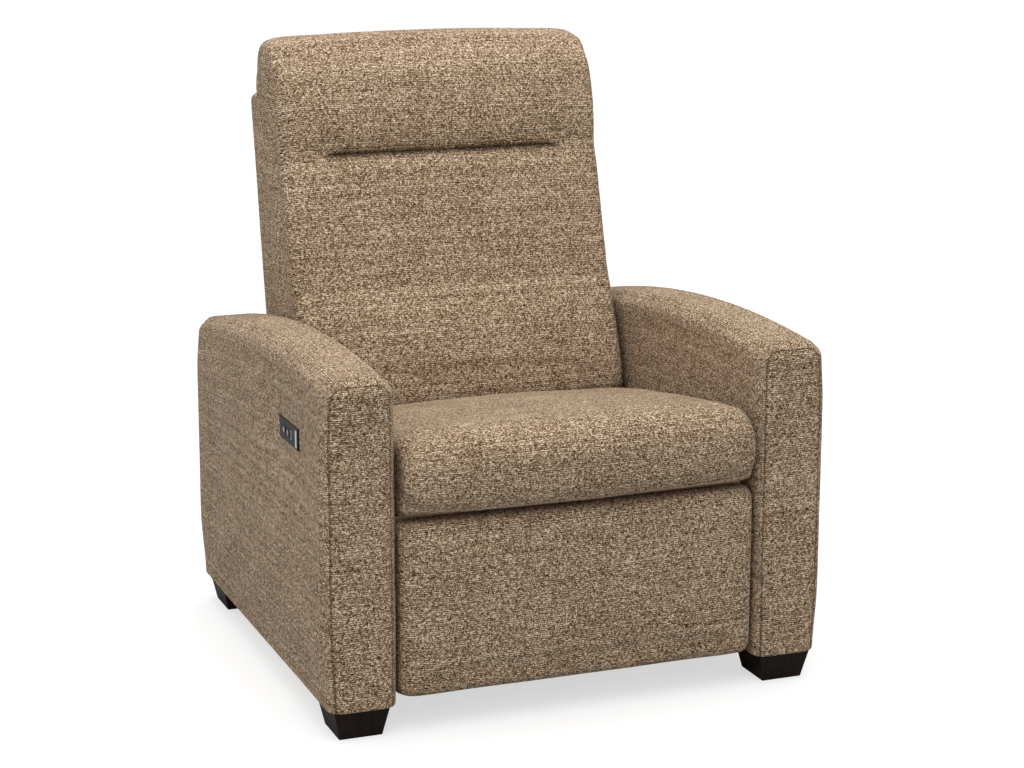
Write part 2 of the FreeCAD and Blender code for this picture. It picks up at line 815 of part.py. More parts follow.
def side_plate(side):
    """The carriage's side plate, with an outward flange under the seat rail and a rear ear."""
    name = "carriage_%s_plate" % side_name(side)
    low = out(side, PLATE_INNER, "side_plate_thickness")
    ear_low = "back_pivot_height - back_ear_radius"
    web = plate(
        name + "_web",
        [
            ("side_plate_start", "side_plate_top"),
            ("side_plate_start", "rear_pivot_height - spacer_radius - link_stack_gap"),
            ("front_roller_back - 3 * roller_radius", "side_plate_base"),
            ("rear_roller_back + 2 * roller_radius", "side_plate_base"),
            ("back_pivot_back + back_ear_radius * 0.8", ear_low + " + back_ear_radius * 0.4"),
            ("back_pivot_back - back_ear_radius * 0.9", "back_pivot_height + back_ear_radius * 0.436"),
            ("side_plate_end", "side_plate_top"),
        ],
        "side_plate_thickness",
        low,
    )
    ear = rod(
        name + "_ear", "back_ear_radius", "side_plate_thickness", low, "back_pivot_back",
        "back_pivot_height", SIDEWAYS,
    )
    flange = box(
        name + "_flange", "seat_flange_width", "side_plate_end - side_plate_start", "side_plate_thickness",
        out(side, PLATE_INNER, "seat_flange_width"), "side_plate_start",
        "side_plate_top - side_plate_thickness",
    )
    holes = []
    bores = [
        ("swing_pivot_back", "swing_pivot_height", "rivet_radius"),
        ("rear_pivot_back", "rear_pivot_height", "rivet_radius"),
        ("front_roller_back", "track_height_mid", "roller_axle_radius"),
        ("rear_roller_back", "track_height_mid", "roller_axle_radius"),
        ("back_pivot_back", "back_pivot_height", "back_pivot_radius"),
    ]
    for i, (back, height, radius) in enumerate(bores):
        holes.append(
            rod(
                "%s_hole_%d" % (name, i), radius + " + running_gap", "side_plate_thickness + 2",
                "(%s) - 1" % low, back, height, SIDEWAYS,
            )
        )
    return node(cut(name, fuse(name + "_solid", [web, ear, flange]), holes), name)


def carriage_tube():
    wall = box(
        "rear_tube_bar", "2 * side_plate_offset", "rear_tube_side", "rear_tube_side",
        "-side_plate_offset", "rear_tube_back", "rear_tube_base",
    )
    bore = box(
        "rear_tube_bore", "2 * side_plate_offset + 2", "rear_tube_side - 2 * rear_tube_wall",
        "rear_tube_side - 2 * rear_tube_wall", "-side_plate_offset - 1",
        "rear_tube_back + rear_tube_wall", "rear_tube_base + rear_tube_wall",
    )
    node(cut("carriage_cross_tube", wall, [bore]), "carriage_cross_tube")


def seat_frame():
    """Timber side and cross rails on the carriage flanges."""
    sides = [
        box(
            "seat_side_rail_" + side_name(side), "seat_rail_width", "seat_frame_length",
            "seat_rail_thickness", out(side, "seat_rail_offset", "seat_rail_width"),
            "seat_frame_front", "side_plate_top",
        )
        for side in SIDES
    ]
    rear_cross = "seat_frame_front + seat_frame_length - seat_cross_depth"
    crosses = [
        box(
            "seat_cross_rail_%d" % i, "2 * seat_rail_offset", "seat_cross_depth", "seat_rail_thickness",
            "-seat_rail_offset", back, "side_plate_top",
        )
        for i, back in enumerate(("seat_frame_front", rear_cross))
    ]
    group("seat_frame", sides + crosses)


SPRING_COUNT = 5
SPRING_BENDS = 12


def spring_shape(x):
    """One sinuous spring: half turns joined by straight bars, flat, from front to rear rail."""
    bend = size("spring_bend_radius")
    reach = size("spring_half_span") - bend
    wire = size("spring_wire_radius")
    height = size("side_plate_top") + size("seat_rail_thickness") + size("spring_lift")
    inner = size("seat_frame_length") - 2 * size("seat_cross_depth")
    start = size("seat_frame_front") + size("seat_cross_depth") - size("origin_back")
    first = start + inner / 2 - bend * SPRING_BENDS
    V = FreeCAD.Vector
    edges = []
    side = 1
    lead = [V(x, start - size("seat_cross_depth") / 2, height), V(x, first, height)]
    edges.append(Part.LineSegment(lead[0], lead[1]).toShape())
    here = lead[1]
    for i in range(SPRING_BENDS):
        if i == 0:
            corner = V(x + side * reach, first, height)
            edges.append(Part.LineSegment(here, corner).toShape())
            here = corner
        mid = V(here.x + side * bend, here.y + bend, height)
        after = V(here.x, here.y + 2 * bend, height)
        edges.append(Part.Arc(here, mid, after).toShape())
        last = i == SPRING_BENDS - 1
        far = V(x if last else x - side * reach, after.y, height)
        edges.append(Part.LineSegment(after, far).toShape())
        here = far
        side = -side
    tail = V(x, start + inner + size("seat_cross_depth") / 2, height)
    edges.append(Part.LineSegment(here, tail).toShape())
    path = Part.Wire(edges)
    ring = Part.Wire([Part.makeCircle(wire, lead[0], V(0, 1, 0))])
    return path, ring


def spring_pipe(x):
    path, ring = spring_shape(x)
    return path.makePipeShell([ring], True, True, 2)


def springs():
    shapes = []
    middle = (SPRING_COUNT - 1) / 2
    for i in range(SPRING_COUNT):
        shapes.append(spring_pipe((i - middle) * size("spring_pitch")))
    thing = doc.addObject("Part::Feature", "seat_springs")
    thing.Shape = Part.makeCompound(shapes)
    node(thing, "seat_springs")


def spring_clips():
    """Folded steel clips that hold the spring ends on the cross rails."""
    clips = []
    middle = (SPRING_COUNT - 1) / 2
    rail_top = "side_plate_top + seat_rail_thickness"
    for i in range(SPRING_COUNT):
        for end in (0, 1):
            name = "spring_clip_%d_%d" % (i, end)
            x = "%s * spring_pitch" % (i - middle)
            near = "seat_frame_front + seat_cross_depth / 2 - clip_length / 2"
            far = "seat_frame_front + seat_frame_length - seat_cross_depth / 2 - clip_length / 2"
            back = (near, far)[end]
            block = box(
                name + "_block", "clip_width", "clip_length", "clip_height", x + " - clip_width / 2", back,
                rail_top,
            )
            slot = rod(
                name + "_slot", "spring_wire_radius + bolt_clearance", "clip_length + 2", x,
                "(%s) - 1" % back, rail_top + " + spring_lift", BACKWARDS,
            )
            clips.append(cut(name, block, [slot]))
    group("spring_clips", clips)


def closed_wire(x, start, runs):
    """A closed outline at x from lines, one point each, and arcs, a middle and an end point."""
    shift = size("origin_back")
    V = FreeCAD.Vector

    def at(point):
        return V(x, point[0] - shift, point[1])

    edges = []
    here = at(start)
    for run in runs:
        if len(run) == 1:
            edges.append(Part.LineSegment(here, at(run[0])).toShape())
        else:
            edges.append(Part.Arc(here, at(run[0]), at(run[1])).toShape())
        here = at(run[-1])
    return Part.Wire(edges)


def loft(name, wires, straight=False):
    thing = doc.addObject("Part::Feature", name)
    thing.Shape = Part.makeLoft(wires, True, straight)
    return thing


def between(p, q, share, lift):
    """A point on the way from p to q, moved off the line by lift to its left."""
    run = (q[0] - p[0], q[1] - p[1])
    length = math.hypot(run[0], run[1])
    middle = (p[0] + share * run[0], p[1] + share * run[1])
    return (middle[0] - lift * run[1] / length, middle[1] + lift * run[0] / length)


def fall(share, start, radius):
    """How far a rounded side has drawn in at a share of the half width, from start outwards."""
    reach = max(0.0, (share - start) / (1 - start))
    return radius * (1 - math.sqrt(max(0.0, 1 - reach ** 2)))


def section_places(half, start):
    """Places across X for a loft's sections: two inside, the rest where the side rounds off."""
    shares = [0.4 * start, 0.8 * start]
    shares += [start + step * (1 - start) for step in (0, 0.5, 0.86, 1)]
    right = [share * half for share in shares]
    return [-x for x in reversed(right)] + [0.0] + right


# Shares of the half width at which the soft pieces' sides start to round off.
CUSHION_SIDE, PAD_SIDE, FOOTREST_SIDE = 0.86, 0.88, 0.9

# The rolled front of the cushion, in shares of its height: how far its points lie
# behind the nose, and how high above the base.
TOE_BACK, LIP_BACK, BROW_BACK, ROLL_BULGE = 0.21, 0.13, 0.34, 0.13
LIP_RISE, NOSE_RISE = 0.10, 0.50


def cushion_wire(x):
    """The seat cushion's side outline at x: crowned top, large rolled front."""
    share = abs(x) / size("cushion_half_width")
    sink = fall(share, CUSHION_SIDE, size("cushion_side_round"))
    crown = size("cushion_crown") * (1 - share ** 2)
    setback = size("cushion_side_setback") * share ** 2
    base = size("cushion_base")
    rear = size("cushion_rear") - 0.3 * sink
    rear_top = size("cushion_rear_top") + crown - sink
    top = size("cushion_front_top") + crown - sink
    front = -size("cushion_front_reach") + setback + sink
    height = top - base
    turn = size("cushion_heel_round")
    foot = (front + TOE_BACK * height + size("cushion_toe_round"), base)
    lip = (front + LIP_BACK * height, base + LIP_RISE * height)
    nose = (front, base + NOSE_RISE * height)
    brow = (front + BROW_BACK * height, top)
    start = (rear, base)
    heel = (rear, rear_top - turn)
    shoulder = (rear - turn, rear_top)
    return closed_wire(
        x,
        start,
        [
            [foot],
            [between(foot, lip, 0.5, size("cushion_toe_bulge")), lip],
            [between(lip, nose, 0.5, size("cushion_lip_bulge")), nose],
            [between(nose, brow, 0.5, ROLL_BULGE * height), brow],
            [between(brow, shoulder, 0.5, size("cushion_top_bulge")), shoulder],
            [between(shoulder, heel, 0.5, size("cushion_heel_bulge")), heel],
            [start],
        ],
    )


def seat_cushion():
    places = section_places(size("cushion_half_width"), CUSHION_SIDE)
    node(loft("seat_cushion", [cushion_wire(x) for x in places]), "seat_cushion")


def shell_front(height):
    """Where the outer back's front plane lies at a height."""
    lean = math.radians(size("back_lean"))
    foot = size("shell_foot_back") - (size("shell_depth") + size("pad_gap")) / math.cos(lean)
    return foot + (height - size("shell_foot_height")) * math.tan(lean)


def shell_top():
    """How high the outer back's rear plane reaches."""
    return size("shell_foot_height") + size("shell_length") * math.cos(math.radians(size("back_lean")))


def pad_wire(x):
    """The back pad's side outline at x: lumbar bulge, headrest and rounded top."""
    share = abs(x) / size("pad_half_width")
    sink = fall(share, PAD_SIDE, size("pad_side_round"))
    forward = size("pad_crown") * (1 - share ** 2) - sink
    neck_height = shell_top() + size("pad_neck_rise")
    nape_height = neck_height + size("pad_neck_length")
    crest_height = nape_height + size("pad_nape_drop")
    brow_height = crest_height - size("pad_brow_drop") - 0.5 * sink - size("pad_brow_fall") * share ** 2
    base = size("pad_base") + 0.3 * sink
    foot = (size("pad_foot_back") - forward, base + size("pad_foot_round"))
    waist = (size("pad_waist_back") - forward, size("pad_waist_height"))
    tuck = (size("pad_tuck_back") - forward, size("pad_tuck_height"))
    head = (size("pad_head_back") - forward, crest_height - size("pad_head_drop"))
    brow = (size("pad_brow_back") - 0.6 * forward, brow_height)
    crest = (size("pad_top_back"), crest_height - sink - size("pad_top_fall") * share ** 2)
    nape = (size("pad_nape_back") - 0.4 * sink, nape_height - 0.6 * sink)
    neck = (shell_front(neck_height), neck_height)
    heel = (shell_front(base), base)
    toe = (size("pad_foot_back") - forward + size("pad_toe_round"), base)
    return closed_wire(
        x,
        heel,
        [
            [toe],
            [between(toe, foot, 0.5, size("pad_foot_bulge")), foot],
            [between(foot, waist, 0.5, size("pad_waist_bulge")), waist],
            [between(waist, tuck, 0.5, size("pad_chest_bulge")), tuck],
            [between(tuck, head, 0.5, size("pad_head_bulge")), head],
            [between(head, brow, 0.5, size("pad_brow_bulge")), brow],
            [between(brow, crest, 0.5, size("pad_crest_bulge")), crest],
            [between(crest, nape, 0.55, size("pad_nape_bulge")), nape],
            [between(nape, neck, 0.5, size("pad_foot_bulge")), neck],
            [heel],
        ],
    )


# Sections of the tuck's groove, as shares of its half length, and how deep each bites.
TUCK_SECTIONS = ((0.0, 1.0), (0.85, 1.0), (0.96, 0.28), (1.0, 0.12))


def tuck_wire(share, bite_share):
    """The groove's outline at a share of its half length: an open mouth that closes to a tip."""
    V = FreeCAD.Vector
    x = share * size("tuck_half_length")
    crown = size("pad_crown") * (1 - (x / size("pad_half_width")) ** 2)
    surface = size("pad_tuck_back") - crown - size("origin_back")
    height = size("pad_tuck_height")
    mouth = surface - size("tuck_tool_margin")
    tip = surface + bite_share * size("tuck_depth")
    nib = size("tuck_tip_radius")
    opening = size("tuck_half_height") * (0.35 + 0.65 * bite_share)
    lips = (mouth + tip) / 2 + nib * 3
    low = V(x, mouth, height - 2.2 * opening)
    high = V(x, mouth, height + 2.2 * opening)
    tip_low = V(x, tip - nib, height - nib)
    tip_high = V(x, tip - nib, height + nib)
    edges = [
        Part.LineSegment(high, low).toShape(),
        Part.Arc(low, V(x, lips, height - 0.55 * opening), tip_low).toShape(),
        Part.Arc(tip_low, V(x, tip, height), tip_high).toShape(),
        Part.Arc(tip_high, V(x, lips, height + 0.55 * opening), high).toShape(),
    ]
    return Part.Wire(edges)


def back_pad():
    places = section_places(size("pad_half_width"), PAD_SIDE)
    body = loft("pad_body", [pad_wire(x) for x in places])
    left = [tuck_wire(-share, bite) for share, bite in reversed(TUCK_SECTIONS[1:])]
    right = [tuck_wire(share, bite) for share, bite in TUCK_SECTIONS]
    tool = loft("tuck_tool", left + right, True)
    node(cut("back_pad", body, [tool]), "back_pad")


def link_pair(name, layer, y0, z0, length, angle, holes):
    """A left and a right link on the same pivots."""
    bars = []
    for side in SIDES:
        bars.append(
            bar(
                "%s_%s" % (name, side_name(side)), length, "link_half_width", "link_thickness",
                holes, out(side, layer, "link_thickness"), y0, z0, angle,
            )
        )
    group(name, bars)


def pin_set(name, pins):
    """Headed pins across X on both sides: pieces are (from, length, radius) inwards or outwards."""
    made = []
    for side in SIDES:
        for i, (back, height, parts) in enumerate(pins):
            label = "%s_%s_%d" % (name, side_name(side), i)
            rods = [
                rod(
                    "%s_part_%d" % (label, j), radius, length, out(side, inner, length), back, height,
                    SIDEWAYS,
                )
                for j, (inner, length, radius) in enumerate(parts)
            ]
            made.append(rods[0] if len(rods) == 1 else fuse(label, rods))
    group(name, made)


HOLE = "rivet_radius + running_gap"


def footrest_links():
    swing_length = "swing_arm + swing_tail"
    link_pair(
        "swing_links", SWING_LAYER, "swing_pivot_back", "swing_pivot_height", swing_length,
        "-swing_fold_angle", [("0", HOLE), ("swing_arm", HOLE), (swing_length, HOLE)],
    )
    cross_length = "cross_tail + " + CROSS_REACH
    link_pair(
        "cross_links", CROSS_LAYER, HEEL_BACK, HEEL_HEIGHT, cross_length, CROSS_ANGLE,
        [("cross_tail", HOLE), (cross_length, HOLE)],
    )
    reach, angle = span("rear_pivot_back", "rear_pivot_height", HEEL_BACK, HEEL_HEIGHT)
    link_pair(
        "rear_links", REAR_LAYER, "rear_pivot_back", "rear_pivot_height", reach, angle,
        [("0", HOLE), (reach, HOLE)],
    )
    reach, angle = span(TAIL_BACK, TAIL_HEIGHT, "board_pivot_back", LOWER_PIVOT_HEIGHT)
    link_pair("lower_links", LOWER_LAYER, TAIL_BACK, TAIL_HEIGHT, reach, angle, [("0", HOLE), (reach, HOLE)])


def footrest_pins():
    head = "rivet_head_height"
    to_swing = "%s + %s - (%s)" % (PLATE_OUTER, head, SWING_LAYER)
    to_rear = "%s + %s - (%s)" % (PLATE_OUTER, head, REAR_LAYER)
    swing_spacer = "(%s) + link_thickness + link_gap" % SWING_LAYER
    rear_spacer = "(%s) + link_thickness + link_gap" % REAR_LAYER
    pin_set(
        "carriage_pivot_pins",
        [
            (
                "swing_pivot_back", "swing_pivot_height",
                [
                    (SWING_LAYER, to_swing, "rivet_radius"),
                    (PLATE_OUTER, head, "rivet_head_radius"),
                    (swing_spacer, "%s - (%s) - link_gap" % (PLATE_INNER, swing_spacer), "spacer_radius"),
                ],
            ),
            (
                "rear_pivot_back", "rear_pivot_height",
                [
                    (REAR_LAYER, to_rear, "rivet_radius"),
                    (PLATE_OUTER, head, "rivet_head_radius"),
                    (rear_spacer, "%s - (%s) - link_gap" % (PLATE_INNER, rear_spacer), "spacer_radius"),
                    ("(%s) - %s" % (REAR_LAYER, head), head, "rivet_head_radius"),
                ],
            ),
        ],
    )
    two = "2 * link_thickness + link_gap"
    pin_set(
        "swing_link_rivets",
        [
            (
                MID_BACK, MID_HEIGHT,
                [
                    (CROSS_LAYER, two, "rivet_radius"),
                    ("(%s) - %s" % (CROSS_LAYER, head), head, "rivet_head_radius"),
                ],
            ),
            (
                TAIL_BACK, TAIL_HEIGHT,
                [
                    (SWING_LAYER, two, "rivet_radius"),
                    ("(%s) + link_thickness" % LOWER_LAYER, head, "rivet_head_radius"),
                ],
            ),
        ],
    )
    pin_set(
        "cross_link_rivets",
        [
            (
                "board_pivot_back", "board_pivot_height",
                [
                    (CROSS_LAYER, two, "rivet_radius"),
                    ("(%s) - %s" % (CROSS_LAYER, head), head, "rivet_head_radius"),
                ],
            )
        ],
    )
    pin_set(
        "rear_link_rivets",
        [
            (
                HEEL_BACK, HEEL_HEIGHT,
                [
                    (REAR_LAYER, "link_thickness", "rivet_radius"),
                    ("(%s) - %s" % (REAR_LAYER, head), head, "rivet_head_radius"),
                ],
            )
        ],
    )
    pin_set(
        "lower_link_rivets",
        [
            (
                "board_pivot_back", LOWER_PIVOT_HEIGHT,
                [
                    (LOWER_LAYER, "link_thickness", "rivet_radius"),
                    ("(%s) + link_thickness" % LOWER_LAYER, head, "rivet_head_radius"),
                ],
            )
        ],
    )


def footrest_brackets():
    """Angles screwed to the board's rear face, with the linkage's two pivots."""
    made = []
    for side in SIDES:
        name = "footrest_bracket_" + side_name(side)
        web = bar(
            name + "_web", "board_pivot_spacing", "link_half_width", "link_thickness",
            [], out(side, SWING_LAYER, "link_thickness"), "board_pivot_back", "board_pivot_height", "-90",
        )
        low = "board_pivot_height - board_pivot_spacing - bracket_end_margin"
        tall = "board_pivot_spacing + 2 * bracket_end_margin"
        arm = box(
            name + "_arm", "link_thickness", "board_pivot_back - footrest_thickness", tall,
            out(side, SWING_LAYER, "link_thickness"), "footrest_thickness", low,
        )
        flange_inner = "(%s) + link_thickness - bracket_flange_width" % SWING_LAYER
        flange = box(
            name + "_flange", "bracket_flange_width", "bracket_flange_thickness", tall,
            out(side, flange_inner, "bracket_flange_width"), "footrest_thickness", low,
        )
        low_x = out(side, SWING_LAYER, "link_thickness")
        holes = [
            rod(
                "%s_hole_%d" % (name, i), HOLE, "link_thickness + 2", "(%s) - 1" % low_x,
                "board_pivot_back", height, SIDEWAYS,
            )
            for i, height in enumerate(("board_pivot_height", LOWER_PIVOT_HEIGHT))
        ]
        made.append(cut(name, fuse(name + "_solid", [web, arm, flange]), holes))
    group("footrest_brackets", made)


def footrest_board():
    """The plywood board inside the footrest pad."""
    node(
        box(
            "footrest_board", "2 * board_half_width", "board_thickness",
            "footrest_top - footrest_base - 2 * board_edge_margin", "-board_half_width",
            "footrest_thickness - board_thickness", "footrest_base + board_edge_margin",
        ),
        "footrest_board",
    )


def footrest_wire(x):
    """The footrest pad's side outline at x: a crowned front face with round edges."""
    share = abs(x) / size("footrest_half_width")
    soft = size("footrest_round")
    sink = fall(share, FOOTREST_SIDE, 0.7 * soft)
    crown = size("footrest_crown") * (1 - share ** 2)
    low = size("footrest_base") + 0.5 * sink
    top = size("footrest_top") - 0.5 * sink
    front = sink
    rear = size("footrest_thickness")
    middle = (front - crown - size("footrest_front_bulge"), (low + top) / 2)
    nip = soft * (1 - math.sqrt(0.5))
    return closed_wire(
        x,
        (rear, low),
        [
            [(front + soft, low)],
            [(front + nip, low + nip), (front, low + soft)],
            [middle, (front, top - soft)],
            [(front + nip, top - nip), (front + soft, top)],
            [(rear, top)],
            [(rear, low)],
        ],
    )


def footrest_pad():
    places = section_places(size("footrest_half_width"), FOOTREST_SIDE)
    body = loft("footrest_pad_body", [footrest_wire(x) for x in places])
    hollow = box(
        "footrest_hollow", "2 * board_half_width + 2 * frame_fit", "board_thickness + frame_fit + 1",
        "footrest_top - footrest_base - 2 * board_edge_margin + 2 * frame_fit",
        "-board_half_width - frame_fit", "footrest_thickness - board_thickness - frame_fit",
        "footrest_base + board_edge_margin - frame_fit",
    )
    node(cut("footrest_pad", body, [hollow]), "footrest_pad")


CRANK_PIN_BACK = "(swing_pivot_back + crank_radius * cos(crank_rest_angle))"
CRANK_PIN_HEIGHT = "(swing_pivot_height - crank_radius * sin(crank_rest_angle))"


def power_drive():
    """Torque tube with its welded crank, slotted yoke on a screw, gearbox, motor and bracket."""
    tube = rod(
        "torque_tube_bar", "torque_tube_radius", "2 * (%s)" % SWING_LAYER, "-(%s)" % SWING_LAYER,
        "swing_pivot_back", "swing_pivot_height", SIDEWAYS,
    )
    bore = rod(
        "torque_tube_bore", "torque_tube_radius - torque_tube_wall", "2 * (%s) + 2" % SWING_LAYER,
        "-(%s) - 1" % SWING_LAYER, "swing_pivot_back", "swing_pivot_height", SIDEWAYS,
    )
    arm = bar(
        "crank_arm", "crank_radius", "crank_half_width", "crank_thickness", [], "-crank_thickness / 2",
        "swing_pivot_back", "swing_pivot_height", "-crank_rest_angle",
    )
    pin = rod(
        "crank_pin", "crank_pin_radius", "crank_pin_length", "-crank_pin_length / 2",
        CRANK_PIN_BACK, CRANK_PIN_HEIGHT, SIDEWAYS,
    )
    hub = rod(
        "crank_hub", "torque_tube_radius + crank_hub_wall", "crank_thickness", "-crank_thickness / 2",
        "swing_pivot_back", "swing_pivot_height", SIDEWAYS,
    )
    node(cut("torque_tube", fuse("crank_weld", [tube, arm, hub, pin]), [bore]), "torque_tube")
    block = box(
        "yoke_body", "2 * yoke_half_width", "2 * yoke_half_length", "yoke_body_height",
        "-yoke_half_width", CRANK_PIN_BACK + " - yoke_half_length", "yoke_body_base",
    )
    cheeks = [
        box(
            "yoke_cheek_" + side_name(side), "yoke_cheek_thickness", "2 * yoke_half_length",
            "yoke_top - yoke_body_base", out(side, "yoke_cheek_gap / 2", "yoke_cheek_thickness"),
            CRANK_PIN_BACK + " - yoke_half_length", "yoke_body_base",
        )
        for side in SIDES
    ]
    slot = box(
        "yoke_slot", "4 * yoke_half_width", "2 * (crank_pin_radius + yoke_slot_play)", "yoke_slot_height",
        "-2 * yoke_half_width", CRANK_PIN_BACK + " - crank_pin_radius - yoke_slot_play", "yoke_slot_base",
    )
    thread = rod(
        "yoke_thread", "screw_radius + running_gap", "2 * yoke_half_length + 2", "0",
        CRANK_PIN_BACK + " - yoke_half_length - 1", "screw_height", BACKWARDS,
    )
    node(cut("drive_yoke", fuse("yoke_solid", [block] + cheeks), [slot, thread]), "drive_yoke")
    screw = rod(
        "drive_screw", "screw_radius", "gearbox_front - screw_front", "0", "screw_front", "screw_height",
        BACKWARDS,
    )
    node(screw, "drive_screw")
    housing = box(
        "gearbox_case", "2 * gearbox_half_width", "gearbox_length", "gearbox_height",
        "-gearbox_half_width", "gearbox_front", "gearbox_base",
    )
    node(round_edges("gearbox", housing, size("gearbox_round"), lambda e: runs_along(e, "z")), "gearbox")
    can = rod(
        "motor_can", "motor_radius", "motor_length", "gearbox_half_width",
        "gearbox_front + gearbox_length / 2", "gearbox_base + gearbox_height / 2", SIDEWAYS,
    )

    def far_rim(edge):
        return edge.CenterOfMass.x > size("gearbox_half_width") + size("motor_length") / 2 + FLAT

    node(round_edges("motor", can, size("motor_round"), far_rim), "motor")
    node(
        box(
            "motor_bracket", "2 * motor_bracket_half_width", "motor_bracket_length",
            "rear_tube_base - gearbox_base - gearbox_height", "-motor_bracket_half_width",
            "rear_tube_back + rear_tube_side / 2 - motor_bracket_length / 2", "gearbox_base + gearbox_height",
        ),
        "motor_bracket",
    )


def back_spot(depth, rise):
    """A point of the leaning back: depth behind the shell's rear plane, rise along its slope."""
    y = "shell_foot_back + (%s) * cos(back_lean) + (%s) * sin(back_lean)" % (depth, rise)
    z = "shell_foot_height - (%s) * sin(back_lean) + (%s) * cos(back_lean)" % (depth, rise)
    return y, z


def back_box(name, width, depth, height, x, back, rise):
    y, z = back_spot(back, rise)
    return box(name, width, depth, height, x, y, z, (1, 0, 0), "-back_lean")


def outer_back():
    slab = back_box(
        "outer_back_slab", "2 * shell_half_width", "shell_depth", "shell_length", "-shell_half_width",
        "-shell_depth", "0",
    )
    doc.recompute()
    lean = math.radians(size("back_lean"))
    rear_normal = FreeCAD.Vector(0, math.cos(lean), -math.sin(lean))
    foot = FreeCAD.Vector(0, size("shell_foot_back") - size("origin_back"), size("shell_foot_height"))
    slope = FreeCAD.Vector(0, math.sin(lean), math.cos(lean))

    def soft_edge(edge):
        """The rear face's side edges and the edges of the top, apart from its front one."""
        spot = edge.CenterOfMass - foot
        behind = spot.dot(rear_normal) > -FLAT
        in_front = spot.dot(rear_normal) < FLAT - size("shell_depth")
        high = spot.dot(slope) > size("shell_length") - FLAT
        low = spot.dot(slope) < FLAT
        return (behind or high) and not low and not (high and in_front)

    soft = round_edges("outer_back_soft", slab, size("shell_round"), soft_edge)
    hollow = back_box(
        "outer_back_hollow", "2 * shell_half_width - 2 * shell_wall", "shell_depth", "shell_length",
        "shell_wall - shell_half_width", "-shell_depth - shell_wall", "-shell_wall",
    )
    node(cut("outer_back", soft, [hollow]), "outer_back")


RAIL_FRONT = "(-shell_depth + frame_fit + webbing_thickness)"
RAIL_LENGTH = "(shell_length - shell_wall - back_rail_foot - back_rail_top_gap)"
BRACKET_INNER = "back_rail_offset + back_rail_width + back_bracket_gap"


def back_frame():
    """Two side rails, two cross rails and four webbing straps."""
    sides = [
        back_box(
            "back_side_rail_" + side_name(side), "back_rail_width", "back_rail_depth", RAIL_LENGTH,
            out(side, "back_rail_offset", "back_rail_width"), RAIL_FRONT, "back_rail_foot",
        )
        for side in SIDES
    ]
    rises = ("back_rail_foot", "back_rail_foot + %s - back_cross_height" % RAIL_LENGTH)
    crosses = [
        back_box(
            "back_cross_rail_%d" % i, "2 * back_rail_offset", "back_rail_depth", "back_cross_height",
            "-back_rail_offset", RAIL_FRONT, rise,
        )
        for i, rise in enumerate(rises)
    ]
    group("back_frame", sides + crosses)
    straps = [
        back_box(
            "back_strap_%d" % i, "2 * (back_rail_offset + back_rail_width)", "webbing_thickness",
            "webbing_width", "-back_rail_offset - back_rail_width", "-shell_depth + frame_fit",
            "webbing_first + %d * webbing_pitch" % i,
        )
        for i in range(4)
    ]
    group("back_webbing", straps)


def back_brackets():
    """Steel brackets from the pivots under the pad, up the outside of the side rails."""
    made = []
    depth = "(%s + back_rail_depth / 2)" % RAIL_FRONT
    knee_y, knee_z = back_spot(depth, "2 * back_bracket_half_width")
    for side in SIDES:
        name = "back_bracket_" + side_name(side)
        low = out(side, BRACKET_INNER, "back_bracket_thickness")
        reach, angle = span("back_pivot_back", "back_pivot_height", knee_y, knee_z)
        foot_bar = bar(
            name + "_foot", reach, "back_bracket_half_width", "back_bracket_thickness", [],
            low, "back_pivot_back", "back_pivot_height", angle,
        )
        upright = bar(
            name + "_upright", "bracket_rise", "back_bracket_half_width", "back_bracket_thickness", [],
            low, knee_y, knee_z, "90 - back_lean",
        )
        holes = [
            rod(
                name + "_pivot_hole", "back_pivot_radius + running_gap", "back_bracket_thickness + 2",
                "(%s) - 1" % low, "back_pivot_back", "back_pivot_height", SIDEWAYS,
            ),
            rod(
                name + "_lug_hole", "lug_radius + running_gap", "back_bracket_thickness + 2",
                "(%s) - 1" % low, "lug_back", "back_pivot_height", SIDEWAYS,
            ),
        ]
        made.append(cut(name, fuse(name + "_solid", [foot_bar, upright]), holes))
    group("back_brackets", made)


